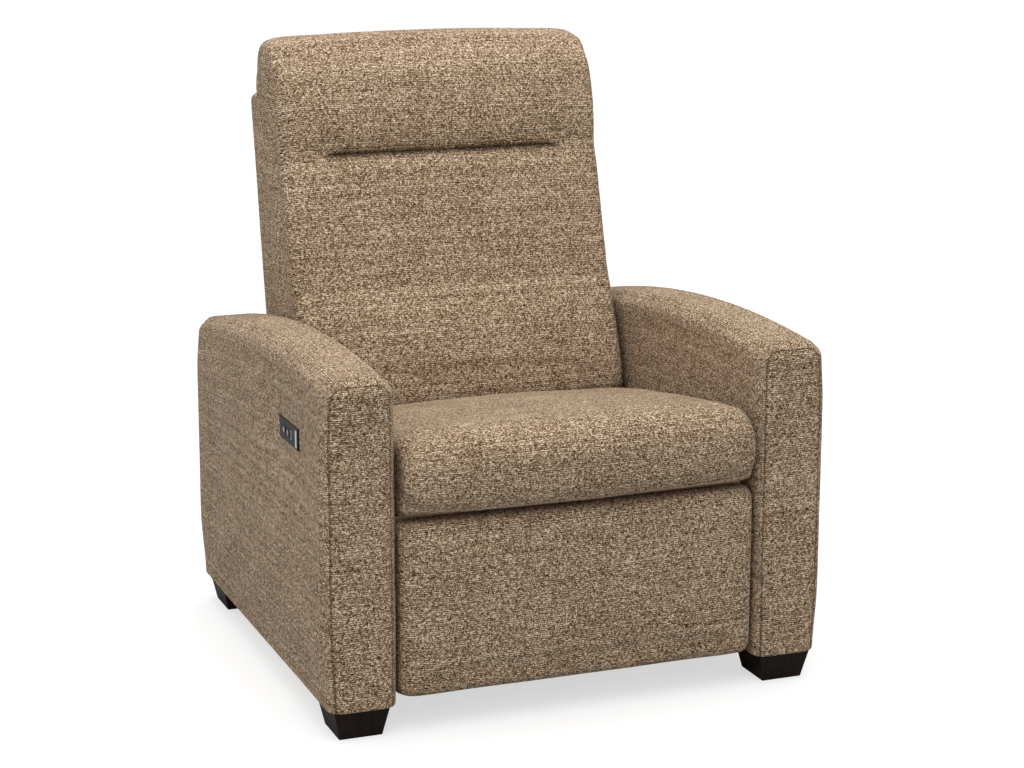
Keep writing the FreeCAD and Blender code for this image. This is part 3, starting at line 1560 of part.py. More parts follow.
def back_pins():
    """Pivot bolts through the side plates, lug pins, and the drive links' base pivots."""
    head = "bolt_head_height"
    reach = "%s - (%s)" % (PLATE_OUTER, BRACKET_INNER)
    lug = "back_link_offset - link_gap - (%s)" % BRACKET_INNER
    collar = "back_link_offset - link_gap - (%s) - back_bracket_thickness - link_gap" % BRACKET_INNER
    pin_set(
        "back_pivot_pins",
        [
            (
                "back_pivot_back", "back_pivot_height",
                [
                    (BRACKET_INNER, reach, "back_pivot_radius"),
                    (PLATE_OUTER, head, "back_pivot_radius + 4"),
                    ("(%s) - %s" % (BRACKET_INNER, head), head, "back_pivot_radius + 4"),
                ],
            ),
            (
                "lug_back", "back_pivot_height",
                [
                    (BRACKET_INNER, lug, "lug_radius"),
                    ("(%s) + back_bracket_thickness" % BRACKET_INNER, collar, "lug_radius + 3"),
                ],
            ),
        ],
    )
    reach, angle = span("drive_pivot_back", "drive_pivot_height", "lug_back", "back_pivot_height")
    link_holes = [("0", "lug_radius + running_gap"), (reach, "lug_radius + running_gap")]
    bars = []
    for side in SIDES:
        bars.append(
            bar(
                "back_drive_link_" + side_name(side), reach, "back_link_half_width", "link_thickness",
                link_holes, out(side, "back_link_offset", "link_thickness"), "drive_pivot_back",
                "drive_pivot_height", angle,
            )
        )
    group("back_drive_links", bars)
    brackets = []
    for side in SIDES:
        name = "drive_plate_" + side_name(side)
        base = box(
            name + "_plate", "drive_plate_thickness", "drive_plate_width", "drive_plate_height",
            out(side, "arm_inner - drive_plate_thickness", "drive_plate_thickness"),
            "drive_pivot_back - drive_plate_width / 2", "drive_pivot_height - drive_plate_height / 2",
        )
        inner = "back_link_offset - link_gap"
        stud = "arm_inner - drive_plate_thickness - (%s)" % inner
        shank = rod(
            name + "_stud", "lug_radius", stud, out(side, inner, stud), "drive_pivot_back",
            "drive_pivot_height", SIDEWAYS,
        )
        boss_inner = "back_link_offset + link_thickness + link_gap"
        boss = "arm_inner - drive_plate_thickness - (%s)" % boss_inner
        collar = rod(
            name + "_boss", "lug_radius + 5", boss, out(side, boss_inner, boss), "drive_pivot_back",
            "drive_pivot_height", SIDEWAYS,
        )
        cap = rod(
            name + "_cap", "lug_radius + 3", "link_gap * 4",
            out(side, "back_link_offset - link_gap - link_gap * 4", "link_gap * 4"),
            "drive_pivot_back", "drive_pivot_height", SIDEWAYS,
        )
        brackets.append(fuse(name, [base, shank, collar, cap]))
    group("back_link_mounts", brackets)


SWITCH_FRONT = "-arm_outer - switch_flange"


def switch_bezel():
    """The plate on the left arm's outer face, with wells for the buttons and the port."""
    flange = box(
        "switch_flange_slab", "switch_flange", "switch_length", "switch_width", SWITCH_FRONT,
        "switch_back - switch_length / 2", "switch_height - switch_width / 2",
    )

    def outer_edge(edge):
        return edge.BoundBox.XMax < FLAT - size("arm_outer") - size("switch_flange")

    soft_flange = round_edges("switch_flange_soft", flange, size("switch_edge_round"), outer_edge)
    body = box(
        "switch_body", "switch_body_depth", "switch_body_length", "switch_body_width", "-arm_outer",
        "switch_back - switch_body_length / 2", "switch_height - switch_body_width / 2",
    )
    wells = [
        box(
            name + "_well", "switch_flange + switch_body_depth - switch_floor",
            "button_length + 2 * button_gap", "button_width + 2 * button_gap", SWITCH_FRONT,
            name + "_button_back - button_length / 2 - button_gap",
            "switch_height - button_width / 2 - button_gap",
        )
        for name in ("open", "close")
    ]
    wells.append(
        box(
            "port_well", "switch_flange + switch_body_depth / 2", "port_length", "port_width", SWITCH_FRONT,
            "port_back - port_length / 2", "switch_height - port_width / 2",
        )
    )
    node(cut("switch_bezel", fuse("switch_solid", [soft_flange, body]), wells), "switch_bezel")


def button(name):
    """A cap that stands a little proud and stops above the floor of its well."""
    cap = box(
        name + "_cap", "button_proud + switch_flange + switch_body_depth - switch_floor - 2 * button_travel",
        "button_length", "button_width", SWITCH_FRONT + " - button_proud",
        name + "_button_back - button_length / 2", "switch_height - button_width / 2",
    )

    def face_edge(edge):
        return edge.BoundBox.XMax < FLAT - size("arm_outer") - size("switch_flange") - size("button_proud")

    node(round_edges(name + "_button", cap, size("button_edge_round"), face_edge), name + "_button")


def charging_port():
    sleeve = box(
        "port_sleeve", "switch_flange + switch_body_depth / 2", "port_length - 2 * bolt_clearance",
        "port_width - 2 * bolt_clearance", SWITCH_FRONT,
        "port_back - port_length / 2 + bolt_clearance", "switch_height - port_width / 2 + bolt_clearance",
    )
    mouth = box(
        "port_mouth", "switch_body_depth / 2", "port_length - 2 * port_wall", "port_width - 2 * port_wall",
        SWITCH_FRONT, "port_back - port_length / 2 + port_wall", "switch_height - port_width / 2 + port_wall",
    )
    node(cut("charging_port", sleeve, [mouth]), "charging_port")


def accent_bar():
    strip = box(
        "accent_bar", "bar_proud", "bar_length", "bar_width", SWITCH_FRONT + " - bar_proud",
        "bar_back - bar_length / 2", "switch_height - bar_width / 2",
    )
    node(strip, "accent_bar")


def power_supply():
    """The supply box on the rear cross rail and its inlet in the rear panel."""
    housing = box(
        "supply_case", "supply_width", "supply_depth", "supply_height", "supply_offset",
        "rear_rail_back - supply_depth", "front_rail_base",
    )
    soft_housing = round_edges("power_supply", housing, size("supply_round"), lambda e: runs_along(e, "z"))
    node(soft_housing, "power_supply")
    back = "rear_rail_back + rear_rail_depth"
    barrel = rod(
        "inlet_barrel", "inlet_radius", "rear_panel_thickness + inlet_reach", "inlet_offset",
        back + " - inlet_reach", "inlet_height", BACKWARDS,
    )
    flange = rod(
        "inlet_flange_disc", "inlet_flange_radius", "inlet_flange", "inlet_offset",
        back + " + rear_panel_thickness", "inlet_height", BACKWARDS,
    )
    bore = rod(
        "inlet_bore", "inlet_bore_radius", "rear_panel_thickness", "inlet_offset",
        back + " + inlet_flange + inlet_floor", "inlet_height", BACKWARDS,
    )
    node(cut("power_inlet", fuse("inlet_solid", [barrel, flange]), [bore]), "power_inlet")


for each in SIDES:
    arm_cover(each)
    arm_frame(each)
    for at_front in (True, False):
        foot(each, at_front)
    track(each)
    side_plate(each)
foot_bolts()
base_rails()
rollers("front", "front_roller_back")
rollers("rear", "rear_roller_back")
roller_axles()
carriage_tube()
seat_frame()
springs()
spring_clips()
seat_cushion()
footrest_links()
footrest_pins()
footrest_brackets()
footrest_board()
footrest_pad()
power_drive()
outer_back()
back_frame()
back_brackets()
back_pins()
back_pad()
switch_bezel()
button("open")
button("close")
charging_port()
accent_bar()
power_supply()

doc.recompute()
for thing in doc.Objects:
    if "Invalid" in thing.State or "Error" in thing.State:
        raise RuntimeError("%s did not build: %s" % (thing.Name, thing.State))
for piece in NODES:
    shape = piece.Shape
    if shape.isNull() or not shape.isValid() or not shape.Solids:
        raise RuntimeError("%s has no valid solid" % piece.Label)
os.makedirs("parts", exist_ok=True)
for piece in NODES:
    piece.Shape.exportStep("parts/%s.step" % piece.Label)
print("%d nodes, %d solids" % (len(NODES), sum(len(piece.Shape.Solids) for piece in NODES)))
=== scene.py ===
import math

import bpy
import numpy as np
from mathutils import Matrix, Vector, noise


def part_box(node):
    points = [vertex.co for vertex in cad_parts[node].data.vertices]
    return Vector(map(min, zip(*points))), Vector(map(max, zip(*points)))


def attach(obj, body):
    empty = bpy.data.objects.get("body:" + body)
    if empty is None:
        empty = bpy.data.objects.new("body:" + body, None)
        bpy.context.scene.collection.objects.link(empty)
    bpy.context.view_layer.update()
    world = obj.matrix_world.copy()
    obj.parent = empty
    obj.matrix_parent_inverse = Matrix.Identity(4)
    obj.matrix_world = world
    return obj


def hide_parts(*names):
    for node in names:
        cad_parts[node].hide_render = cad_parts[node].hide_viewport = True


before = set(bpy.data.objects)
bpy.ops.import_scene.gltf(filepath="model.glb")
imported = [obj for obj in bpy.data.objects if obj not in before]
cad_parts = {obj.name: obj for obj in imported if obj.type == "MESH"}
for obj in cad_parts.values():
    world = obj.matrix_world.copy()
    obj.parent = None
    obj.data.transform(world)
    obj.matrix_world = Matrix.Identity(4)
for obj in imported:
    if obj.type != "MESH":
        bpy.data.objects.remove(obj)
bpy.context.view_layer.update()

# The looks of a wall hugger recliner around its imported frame. Metres, +Z up, the chair faces -Y.
MM = 0.001

# The camera, from the perspective of the arms, feet and footrest.
CAMERA_PLACE = (-1.4443, -3.8346, 1.4113)
CAMERA_AIM = (0.0110, -0.0827, 0.4763)
CAMERA_LENS = 83.48
SENSOR_WIDTH = 36.0

# The light, from the brightness of each side. A lamp has a name, a place, a width and a power.
SKY_LEVEL = 0.83
FLOOR_SHADE = 0.45
FLOOR_GLOW = 0.62
FLOOR_HALF = 40.0
LAMP_AIM = (0, 0, 0.5)
LAMPS = (
    ("key", (-0.9, -1.9, 2.9), 2.0, 22),
    ("left", (-3.2, -0.9, 1.7), 2.0, 5),
    ("top", (0.2, 0.1, 3.2), 2.4, 42),
)

# The arms' form, from the sizes of the solids that they replace.
ARM_APEX_BACK = -185 * MM
ARM_ARCH_RADIUS = 2660 * MM
ARM_ARCH_START = 0.25
ARM_EDGE_RADIUS = 25 * MM
ARM_TOP_DROP = 5 * MM
ARM_TOP_DROP_START = 0.45
ARM_TOP_BAND = 60 * MM
ARM_HEM_RADIUS = 6 * MM
ARM_SIDE_WALL = 6 * MM
ARM_FRONT_WALL = 20 * MM
ARM_REAR_WALL = 8 * MM
ARM_CAVITY_TOP = 520 * MM

# The arms' padding. A start and an end are shares of the height or of the half width,
# and a rest and a loss are shares of the bulge.
ARM_OUTER_BULGE = 10 * MM
ARM_INNER_BULGE = 2 * MM
ARM_HEM_REST = 0.35
ARM_HEM_END = 0.22
ARM_TOP_LOSS = 0.6
ARM_TOP_START = 0.8
ARM_REAR_BULGE = 9 * MM
ARM_REAR_BAND = 120 * MM
ARM_REAR_LOSS = 0.7
ARM_REAR_START = 0.1
ARM_RIPPLE = 0.6 * MM
ARM_RIPPLE_WAVE = 90 * MM
ARM_RIPPLE_START = 0.9
SWITCH_FLAT = 12 * MM
SWITCH_BLEND = 120 * MM

# The arms' front panels, their seams, and how far the yarns start from the lines of the arm.
PANEL_INSET = 7 * MM
PANEL_CORNER = 22 * MM
PANEL_BAND = 14 * MM
PANEL_PUFF = 1.2 * MM
PANEL_PUFF_REACH = 14 * MM
SEAM_DEPTH = 1.6 * MM
SEAM_WIDTH = 1.7 * MM
SLEEVE_YARN_SHIFT = 0.9
PANEL_YARN_SHIFT = 0.5

# The faces of remeshed covers.
PAD_VOXEL = 6 * MM
SHELL_VOXEL = 4.5 * MM
REAR_PANEL_VOXEL = 3 * MM

# The run of the yarns round a cover, and on the panels at its sides.
OUTLINE_HALF = 12 * MM
SIDE_PANEL_RIM = 7 * MM
WIDTH_LEVELS = 40

# The swelling of stuffed covers.
SWELL_SHRINK = 3 * MM
SWELL_CAP = 24 * MM
SWELL_PRESSURE = 4.0
SWELL_FRAMES = 20
SWELL_SHY = 1.5 * MM
SWELL_PROUD = 4 * MM
SWELL_SOFTENING = 10

# The seat cushion, and the footrest's pad.
CUSHION_HELD = 6 * MM
CUSHION_FREE = 24 * MM
FOOTREST_HELD = 6 * MM
FOOTREST_FREE = 16 * MM
CUSHION_SPREAD = 9 * MM
CUSHION_CLEAR = 2 * MM
CUSHION_BLEND = 22 * MM

# The back pad with its tuck below the headrest, and the outer back.
PAD_SPREAD = 5 * MM
SHELL_SPREAD = 4 * MM
BACK_LEAN = math.radians(10.4)
PAD_FRONT_Y = 0.3
PAD_HELD = 2 * MM
PAD_FREE = 14 * MM
TUCK_HEIGHT = 848 * MM
TUCK_HALF = 222 * MM
TUCK_WIDTH = 3.4 * MM
TUCK_DEPTH = 7 * MM
TUCK_KEEP = 16 * MM

# The smooth sweep of the pad's front below the tuck.
SWEEP_LOW = 0.42
SWEEP_HIGH = TUCK_HEIGHT - 18 * MM
SWEEP_LOW_BLEND = 170 * MM
SWEEP_HIGH_BLEND = 50 * MM
SWEEP_ABOVE = 100 * MM
SWEEP_HALF = 100 * MM
SWEEP_STEP = 5 * MM
SWEEP_REACH = 30
SWEEP_WIDTH = 75 * MM
SWEEP_DEPTH_START = 20 * MM
SWEEP_DEPTH_END = 60 * MM

# The raised dot on each button: its rings' radii and heights above the button.
DOT_HEIGHT = 0.6 * MM
DOT_RINGS = ((3.0 * MM, 0.55 * MM), (4.4 * MM, 0.3 * MM), (4.9 * MM, -0.3 * MM))
DOT_SIDES = 24


def linear(value):
    """The linear light of an sRGB level from 0 to 255."""
    share = value / 255
    return share / 12.92 if share <= 0.04045 else ((share + 0.055) / 1.055) ** 2.4


def colour(red, green, blue):
    return (linear(red), linear(green), linear(blue), 1.0)


def smooth(low, high, value):
    share = np.clip((value - low) / (high - low), 0, 1)
    return share * share * (3 - 2 * share)


# Mesh tools


def coordinates(mesh):
    flat = np.empty(len(mesh.vertices) * 3)
    mesh.vertices.foreach_get("co", flat)
    return flat.reshape(-1, 3)


def set_coordinates(mesh, points):
    mesh.vertices.foreach_set("co", np.asarray(points, float).ravel())
    mesh.update()


def normals(mesh):
    flat = np.empty(len(mesh.vertices) * 3)
    mesh.vertex_normals.foreach_get("vector", flat)
    return flat.reshape(-1, 3)


def link(name, data):
    piece = bpy.data.objects.new(name, data)
    bpy.context.scene.collection.objects.link(piece)
    return piece


def mesh_piece(name, points, faces):
    mesh = bpy.data.meshes.new(name)
    mesh.from_pydata([tuple(p) for p in points], [], [tuple(f) for f in faces])
    mesh.update()
    mesh.polygons.foreach_set("use_smooth", [True] * len(mesh.polygons))
    return link(name, mesh)


def applied(piece):
    """Puts a piece's modifiers into its mesh."""
    bpy.context.view_layer.update()
    graph = bpy.context.evaluated_depsgraph_get()
    mesh = bpy.data.meshes.new_from_object(piece.evaluated_get(graph))
    piece.modifiers.clear()
    old = piece.data
    piece.data = mesh
    mesh.name = piece.name
    bpy.data.meshes.remove(old)
    mesh.polygons.foreach_set("use_smooth", [True] * len(mesh.polygons))
    return piece


def wander(points, wave, seed):
    """Smooth noise from -1 to 1 at each point, with bumps about one wave apart."""
    shift = Vector((seed * 3.7, seed * 1.3, seed * 2.1))
    return np.array([noise.noise(Vector(p) / wave + shift) for p in points])


def set_seam_shade(piece, strength):
    """How deep in a seam each vertex lies, from 0 to 1, for the painted shade that darkens the fabric in
    seams and the tuck.
    """
    layer = piece.data.attributes.new("seam", "FLOAT", "POINT")
    layer.data.foreach_set("value", np.asarray(strength, np.float32))


def set_weave(piece, along, across):
    """Where each face corner lies along the yarns and across them, in metres."""
    layer = piece.data.attributes.new("weave", "FLOAT_VECTOR", "CORNER")
    places = np.stack([along, across, np.zeros(len(along))], axis=1)
    layer.data.foreach_set("vector", places.astype(np.float32).ravel())


def corner_points(mesh):
    """Each face corner's vertex, and each face corner's face."""
    vertices = np.empty(len(mesh.loops), int)
    mesh.loops.foreach_get("vertex_index", vertices)
    sizes = np.empty(len(mesh.polygons), int)
    mesh.polygons.foreach_get("loop_total", sizes)
    return vertices, np.repeat(np.arange(len(sizes)), sizes)


def nearest(lines, place):
    """Which of the lines lies nearest to a place."""
    return int(np.argmin(np.abs(lines - place)))


def ruler(low, high, coarse, fine, rim, marks=()):
    """Grid lines from low to high: fine within rim of each end, coarse between, with one on each mark."""
    count = max(2, round((high - low - 2 * rim) / coarse))
    edge = max(2, round(rim / fine))
    lines = np.concatenate(
        [
            np.linspace(low, low + rim, edge + 1)[:-1],
            np.linspace(low + rim, high - rim, count + 1)[:-1],
            np.linspace(high - rim, high, edge + 1),
        ]
    )
    for mark in marks:
        lines[1 + nearest(lines[1:-1], mark)] = mark
    return lines


class Lattice:
    """The surface of a box as a grid of quads, hollow from below up to a roof."""

    def __init__(self, xs, ys, zs, hollow, roof):
        self.xs, self.ys, self.zs = xs, ys, zs
        self.roof = roof
        self.index = {}
        self.spots = []
        self.inner = []
        self.quads = []
        self.sides = []
        nx, ny, nz = len(xs) - 1, len(ys) - 1, len(zs) - 1
        i0, i1, j0, j1 = hollow
        for i in range(nx):
            for j in range(ny):
                self.quad("top", (i, j, nz), (i + 1, j, nz), (i + 1, j + 1, nz), (i, j + 1, nz))
                if i0 <= i < i1 and j0 <= j < j1:
                    self.quad("roof", (i, j, -1), (i, j + 1, -1), (i + 1, j + 1, -1), (i + 1, j, -1))
                else:
                    self.quad("bottom", (i, j, 0), (i, j + 1, 0), (i + 1, j + 1, 0), (i + 1, j, 0))
        for i in range(nx):
            for k in range(nz):
                self.quad("front", (i, 0, k), (i + 1, 0, k), (i + 1, 0, k + 1), (i, 0, k + 1))
                self.quad("rear", (i, ny, k), (i, ny, k + 1), (i + 1, ny, k + 1), (i + 1, ny, k))
        for j in range(ny):
            for k in range(nz):
                self.quad("low", (0, j, k), (0, j, k + 1), (0, j + 1, k + 1), (0, j + 1, k))
                self.quad("high", (nx, j, k), (nx, j + 1, k), (nx, j + 1, k + 1), (nx, j, k + 1))
        for i in range(i0, i1):
            self.quad("inside", (i, j0, 0), (i, j0, -1), (i + 1, j0, -1), (i + 1, j0, 0))
            self.quad("inside", (i, j1, 0), (i + 1, j1, 0), (i + 1, j1, -1), (i, j1, -1))
        for j in range(j0, j1):
            self.quad("inside", (i0, j, 0), (i0, j + 1, 0), (i0, j + 1, -1), (i0, j, -1))
            self.quad("inside", (i1, j, 0), (i1, j, -1), (i1, j + 1, -1), (i1, j + 1, 0))
        self.spots = np.array(self.spots)
        self.inner = np.array(self.inner)

    def corner(self, i, j, k):
        if (i, j, k) not in self.index:
            self.index[i, j, k] = len(self.spots)
            self.spots.append((self.xs[i], self.ys[j], self.roof if k < 0 else self.zs[k]))
            self.inner.append(k < 0)
        return self.index[i, j, k]

    def quad(self, side, *keys):
        self.quads.append([self.corner(*key) for key in keys])
        self.sides.append(side)


def rounded(points, low, high, radius):
    """Box surface points moved onto a box whose edges are rounded, with a sharp bottom."""
    core_low = np.array(low) + radius * np.array((1, 1, 0))
    core_high = np.array(high) - radius
    core = np.clip(points, core_low, core_high)
    away = points - core
    longest = np.abs(away).max(axis=1)
    length = np.linalg.norm(away, axis=1)
    scale = np.where(length > 0, longest / np.maximum(length, 1e-12), 0)
    return core + away * scale[:, None]


# Arms


def arch(y):
    """The height of an arm's top line at y."""
    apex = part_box("left_arm_cover")[1].z
    return apex - ARM_ARCH_RADIUS + np.sqrt(ARM_ARCH_RADIUS ** 2 - (y - ARM_APEX_BACK) ** 2)


def panel_distance(across, height, half, top):
    """Signed distance in the front face from the front panel's seam, below 0 inside the panel."""
    side = np.abs(across) - (half - PANEL_INSET - PANEL_CORNER)
    over = height - (top - PANEL_INSET - PANEL_CORNER)
    outside = np.hypot(np.maximum(side, 0), np.maximum(over, 0))
    inside = np.minimum(np.maximum(side, over), 0)
    return outside + inside - PANEL_CORNER


def plate_distance(points):
    """How far each point lies from the switch plate's edge, along the arm's outer face."""
    low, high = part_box("switch_bezel")
    beside = np.maximum(np.maximum(low.y - points[:, 1], points[:, 1] - high.y), 0)
    above = np.maximum(np.maximum(low.z - points[:, 2], points[:, 2] - high.z), 0)
    return np.hypot(beside, above)


def hem(points, low, high):
    """Rolls the lowest few millimetres of an arm inwards."""
    height = points[:, 2] - low.z
    share = np.clip(1 - height / ARM_HEM_RADIUS, 0, 1)
    draw = ARM_HEM_RADIUS * (1 - np.sqrt(1 - share ** 2))
    middle = (np.array(low) + np.array(high)) / 2
    half = (np.array(high) - np.array(low)) / 2
    for axis in (0, 1):
        offset = points[:, axis] - middle[axis]
        outer = smooth(half[axis] - 2 * ARM_HEM_RADIUS, half[axis], np.abs(offset))
        points[:, axis] -= np.sign(offset) * draw * outer
    return points


def arm(side):
    """An upholstered arm: a sleeve round the sides and top, and a front panel sewn into it."""
    node = side + "_arm_cover"
    low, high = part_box(node)
    cavity_x = (low.x + ARM_SIDE_WALL, high.x - ARM_SIDE_WALL)
    cavity_y = (low.y + ARM_FRONT_WALL, high.y - ARM_REAR_WALL)
    xs = ruler(low.x, high.x, coarse=4 * MM, fine=2 * MM, rim=40 * MM, marks=cavity_x)
    ys = ruler(low.y, high.y, coarse=9 * MM, fine=2.5 * MM, rim=45 * MM, marks=cavity_y)
    zs = ruler(low.z, high.z, coarse=8 * MM, fine=2.2 * MM, rim=60 * MM)
    hollow = [nearest(xs, x) for x in cavity_x] + [nearest(ys, y) for y in cavity_y]
    grid = Lattice(xs, ys, zs, hollow, ARM_CAVITY_TOP)
    flat = grid.spots
    middle_x, half = (low.x + high.x) / 2, (high.x - low.x) / 2
    skin = ~grid.inner
    outward = -1 if side == "left" else 1
    points = flat.copy()
    points[skin] = rounded(flat[skin], low, high, ARM_EDGE_RADIUS)
    across = (flat[:, 0] - middle_x) / half
    rise = (flat[:, 2] - low.z) / (high.z - low.z)
    # the top's long edges are rounder than the upright ones
    near_edge = smooth(ARM_TOP_DROP_START, 1.0, np.abs(across)) ** 2
    drop = ARM_TOP_DROP * near_edge * smooth(high.z - ARM_TOP_BAND, high.z, flat[:, 2])
    arched = (high.z - arch(points[:, 1])) * smooth(ARM_ARCH_START, 1.0, rise)
    points[skin, 2] -= (drop + arched)[skin]
    # the padding swells outwards, less at the hem and the top, and lies flat round the switch
    above_hem = ARM_HEM_REST + (1 - ARM_HEM_REST) * smooth(0.0, ARM_HEM_END, rise)
    below_top = 1 - ARM_TOP_LOSS * smooth(ARM_TOP_START, 1.0, rise)
    swell = np.where(across * outward > 0, ARM_OUTER_BULGE, ARM_INNER_BULGE) * above_hem * below_top
    if side == "left":
        swell *= smooth(SWITCH_FLAT, SWITCH_BLEND, plate_distance(flat))
    points[skin, 0] += (across * np.abs(across) * swell)[skin]
    backward = smooth(high.y - ARM_REAR_BAND, high.y, flat[:, 1])
    lower = 1 - ARM_REAR_LOSS * smooth(ARM_REAR_START, 1.0, rise)
    points[skin, 1] += (ARM_REAR_BULGE * backward * lower)[skin]
    # the front panel's seam: a groove, which the tweed also darkens with painted shade
    seam_distance = panel_distance(flat[:, 0] - middle_x, flat[:, 2], half, high.z)
    on_front = smooth(low.y + PANEL_BAND, low.y, flat[:, 1])
    groove = np.exp(-((seam_distance / SEAM_WIDTH) ** 2)) * on_front
    beside_seam = np.exp(-((np.minimum(seam_distance, 0) / PANEL_PUFF_REACH) ** 2))
    puff = PANEL_PUFF * (1 - beside_seam) * on_front
    points[skin, 1] += (SEAM_DEPTH * groove - puff)[skin]
    # the cloth is never quite even
    ripple = wander(flat, ARM_RIPPLE_WAVE, 1 if side == "left" else 2) * ARM_RIPPLE
    points[skin, 0] += (ripple * smooth(ARM_RIPPLE_START, 1.0, np.abs(across)))[skin]
    points[skin] = hem(points[skin], low, high)
    piece = mesh_piece(side + "_arm", points, grid.quads)
    set_seam_shade(piece, groove * skin)
    set_weave(piece, *arm_weave(grid, low, high, seam_distance))
    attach(piece, "base")
    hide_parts(node)
    return piece


def arm_weave(grid, low, high, seam_distance):
    """Yarns run along Y on the sleeve and round the front edge to the seam, and along X on the panel."""
    quads = np.array(grid.quads)
    x, y, z = grid.spots[quads.ravel()].T
    side = np.repeat(np.array(grid.sides), 4)
    panel = np.repeat((seam_distance[quads].mean(axis=1) < 0), 4) & (side == "front")
    wide = high.x - low.x
    from_edge = np.minimum(x - low.x, high.x - x)
    over = high.z - z
    over_top = high.z + x - low.x
    along = x.copy()
    across = z + SLEEVE_YARN_SHIFT
    for names, lengthways, round_it in (
        (["top", "roof", "bottom"], y, over_top),
        (["low"], y, z),
        (["high"], y, 2 * high.z + wide - z),
        (["front"], low.y - np.minimum(over, from_edge), np.where(over < from_edge, over_top, z)),
    ):
        chosen = np.isin(side, names)
        along[chosen] = lengthways[chosen]
        across[chosen] = round_it[chosen]
    along[panel] = x[panel]
    across[panel] = z[panel] + PANEL_YARN_SHIFT
    return along, across


# Cushions and pads


def soft_copy(node, name, voxel):
    """A free copy of a soft solid, remeshed into small even faces."""
    piece = link(name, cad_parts[node].data.copy())
    piece.data.materials.clear()
    weld = piece.modifiers.new("weld", "WELD")
    weld.merge_threshold = 0.02 * MM
    remesh = piece.modifiers.new("remesh", "REMESH")
    remesh.mode = "VOXEL"
    remesh.voxel_size = voxel
    return applied(piece)


def inflate(piece, held):
    """Lets a piece's cover swell under pressure from a slightly smaller start, held where held is 1."""
    start = coordinates(piece.data) - normals(piece.data) * (SWELL_SHRINK * (1 - held))[:, None]
    set_coordinates(piece.data, start)
    group = piece.vertex_groups.new(name="held")
    # the hold is given in quarters
    for level in (0.25, 0.5, 0.75, 1.0):
        chosen = np.nonzero((held > level - 0.125) & (held <= level + 0.125))[0]
        group.add([int(i) for i in chosen], level, "REPLACE")
    modifier = piece.modifiers.new("cloth", "CLOTH")
    cloth = modifier.settings
    cloth.vertex_group_mass = "held"
    cloth.use_pressure = True
    cloth.uniform_pressure_force = SWELL_PRESSURE
    cloth.effector_weights.gravity = 0
    cloth.quality = 5
    modifier.point_cache.frame_start = 1
    modifier.point_cache.frame_end = SWELL_FRAMES
    scene = bpy.context.scene
    for step in range(1, SWELL_FRAMES + 1):
        scene.frame_set(step)
    graph = bpy.context.evaluated_depsgraph_get()
    swollen = bpy.data.meshes.new_from_object(piece.evaluated_get(graph))
    moved = coordinates(swollen) - start
    bpy.data.meshes.remove(swollen)
    piece.modifiers.clear()
    scene.frame_set(1)
    length = np.linalg.norm(moved, axis=1)
    limit = np.minimum(1, SWELL_CAP / np.maximum(length, 1e-9))
    set_coordinates(piece.data, start + moved * limit[:, None])


def subdivided(piece):
    modifier = piece.modifiers.new("finer", "SUBSURF")
    modifier.subdivision_type = "CATMULL_CLARK"
    modifier.levels = 1
    modifier.render_levels = 1
    return applied(piece)


def outline_of(points):
    """The hull in Y and Z of a piece's middle slice, as a closed line of points."""
    near = sorted(map(tuple, points[np.abs(points[:, 0]) < OUTLINE_HALF][:, 1:]))
    halves = []
    for run in (near, near[::-1]):
        chain = []
        for place in run:
            while len(chain) > 1 and turn_of(chain[-2], chain[-1], place) <= 0:
                chain.pop()
            chain.append(place)
        halves.append(chain[:-1])
    return np.array(halves[0] + halves[1])


def turn_of(first, second, third):
    """Above 0 where the way over three points turns left."""
    ahead = (second[0] - first[0]) * (third[1] - first[1])
    return ahead - (second[1] - first[1]) * (third[0] - first[0])


def along_outline(line, points):
    """How far along a closed outline the nearest place to each point lies."""
    ends = np.roll(line, -1, axis=0)
    run = ends - line
    lengths = np.linalg.norm(run, axis=1)
    starts = np.concatenate([[0], np.cumsum(lengths)[:-1]])
    result = np.empty(len(points))
    batch = 4096
    for low in range(0, len(points), batch):
        chunk = points[low:low + batch, None, :]
        share = np.clip(((chunk - line) * run).sum(2) / (lengths ** 2), 0, 1)
        gap = np.linalg.norm(chunk - line - run * share[:, :, None], axis=2)
        best = gap.argmin(axis=1)
        rows = np.arange(len(best))
        result[low:low + batch] = starts[best] + share[rows, best] * lengths[best]
    return result, lengths.sum()


def wrapped_weave(piece):
    """Yarns across X on the wrapped cover, and across Y on the two side panels."""
    mesh = piece.data
    points = coordinates(mesh)
    arc, total = along_outline(outline_of(points), points[:, 1:])
    vertices, faces = corner_points(mesh)
    counts = np.bincount(faces)
    middle = np.bincount(faces, np.abs(points[vertices, 0])) / counts
    height = np.bincount(faces, points[vertices, 2]) / counts
    # the half width of the piece at each level
    share = (height - height.min()) / (height.max() - height.min())
    levels = (share * (WIDTH_LEVELS - 0.001)).astype(int)
    widest = np.zeros(WIDTH_LEVELS)
    np.maximum.at(widest, levels, middle)
    sideways = (middle > widest[levels] - SIDE_PANEL_RIM)[faces]
    turn = arc[vertices]
    longest = np.zeros(len(counts))
    np.maximum.at(longest, faces, turn)
    turn = np.where((turn < total / 2) & (longest[faces] - turn > total / 2), turn + total, turn)
    along = np.where(sideways, points[vertices, 1], points[vertices, 0])
    across = np.where(sideways, points[vertices, 2], turn)
    set_weave(piece, along, across)


def ripples(piece, wave, height, seed):
    """Low, broad unevenness of padding under cloth."""
    points = coordinates(piece.data)
    lift = wander(points, wave, seed) * height
    set_coordinates(piece.data, points + normals(piece.data) * lift[:, None])


def soften(piece, held, rounds):
    """Smooths a remeshed piece where held is below a half, as stuffing fills out its edges."""
    group = piece.vertex_groups.new(name="free")
    group.add([int(i) for i in np.nonzero(held < 0.5)[0]], 1.0, "REPLACE")
    modifier = piece.modifiers.new("soften", "SMOOTH")
    modifier.factor = 0.5
    modifier.iterations = rounds
    modifier.vertex_group = "free"
    applied(piece)
    piece.vertex_groups.clear()


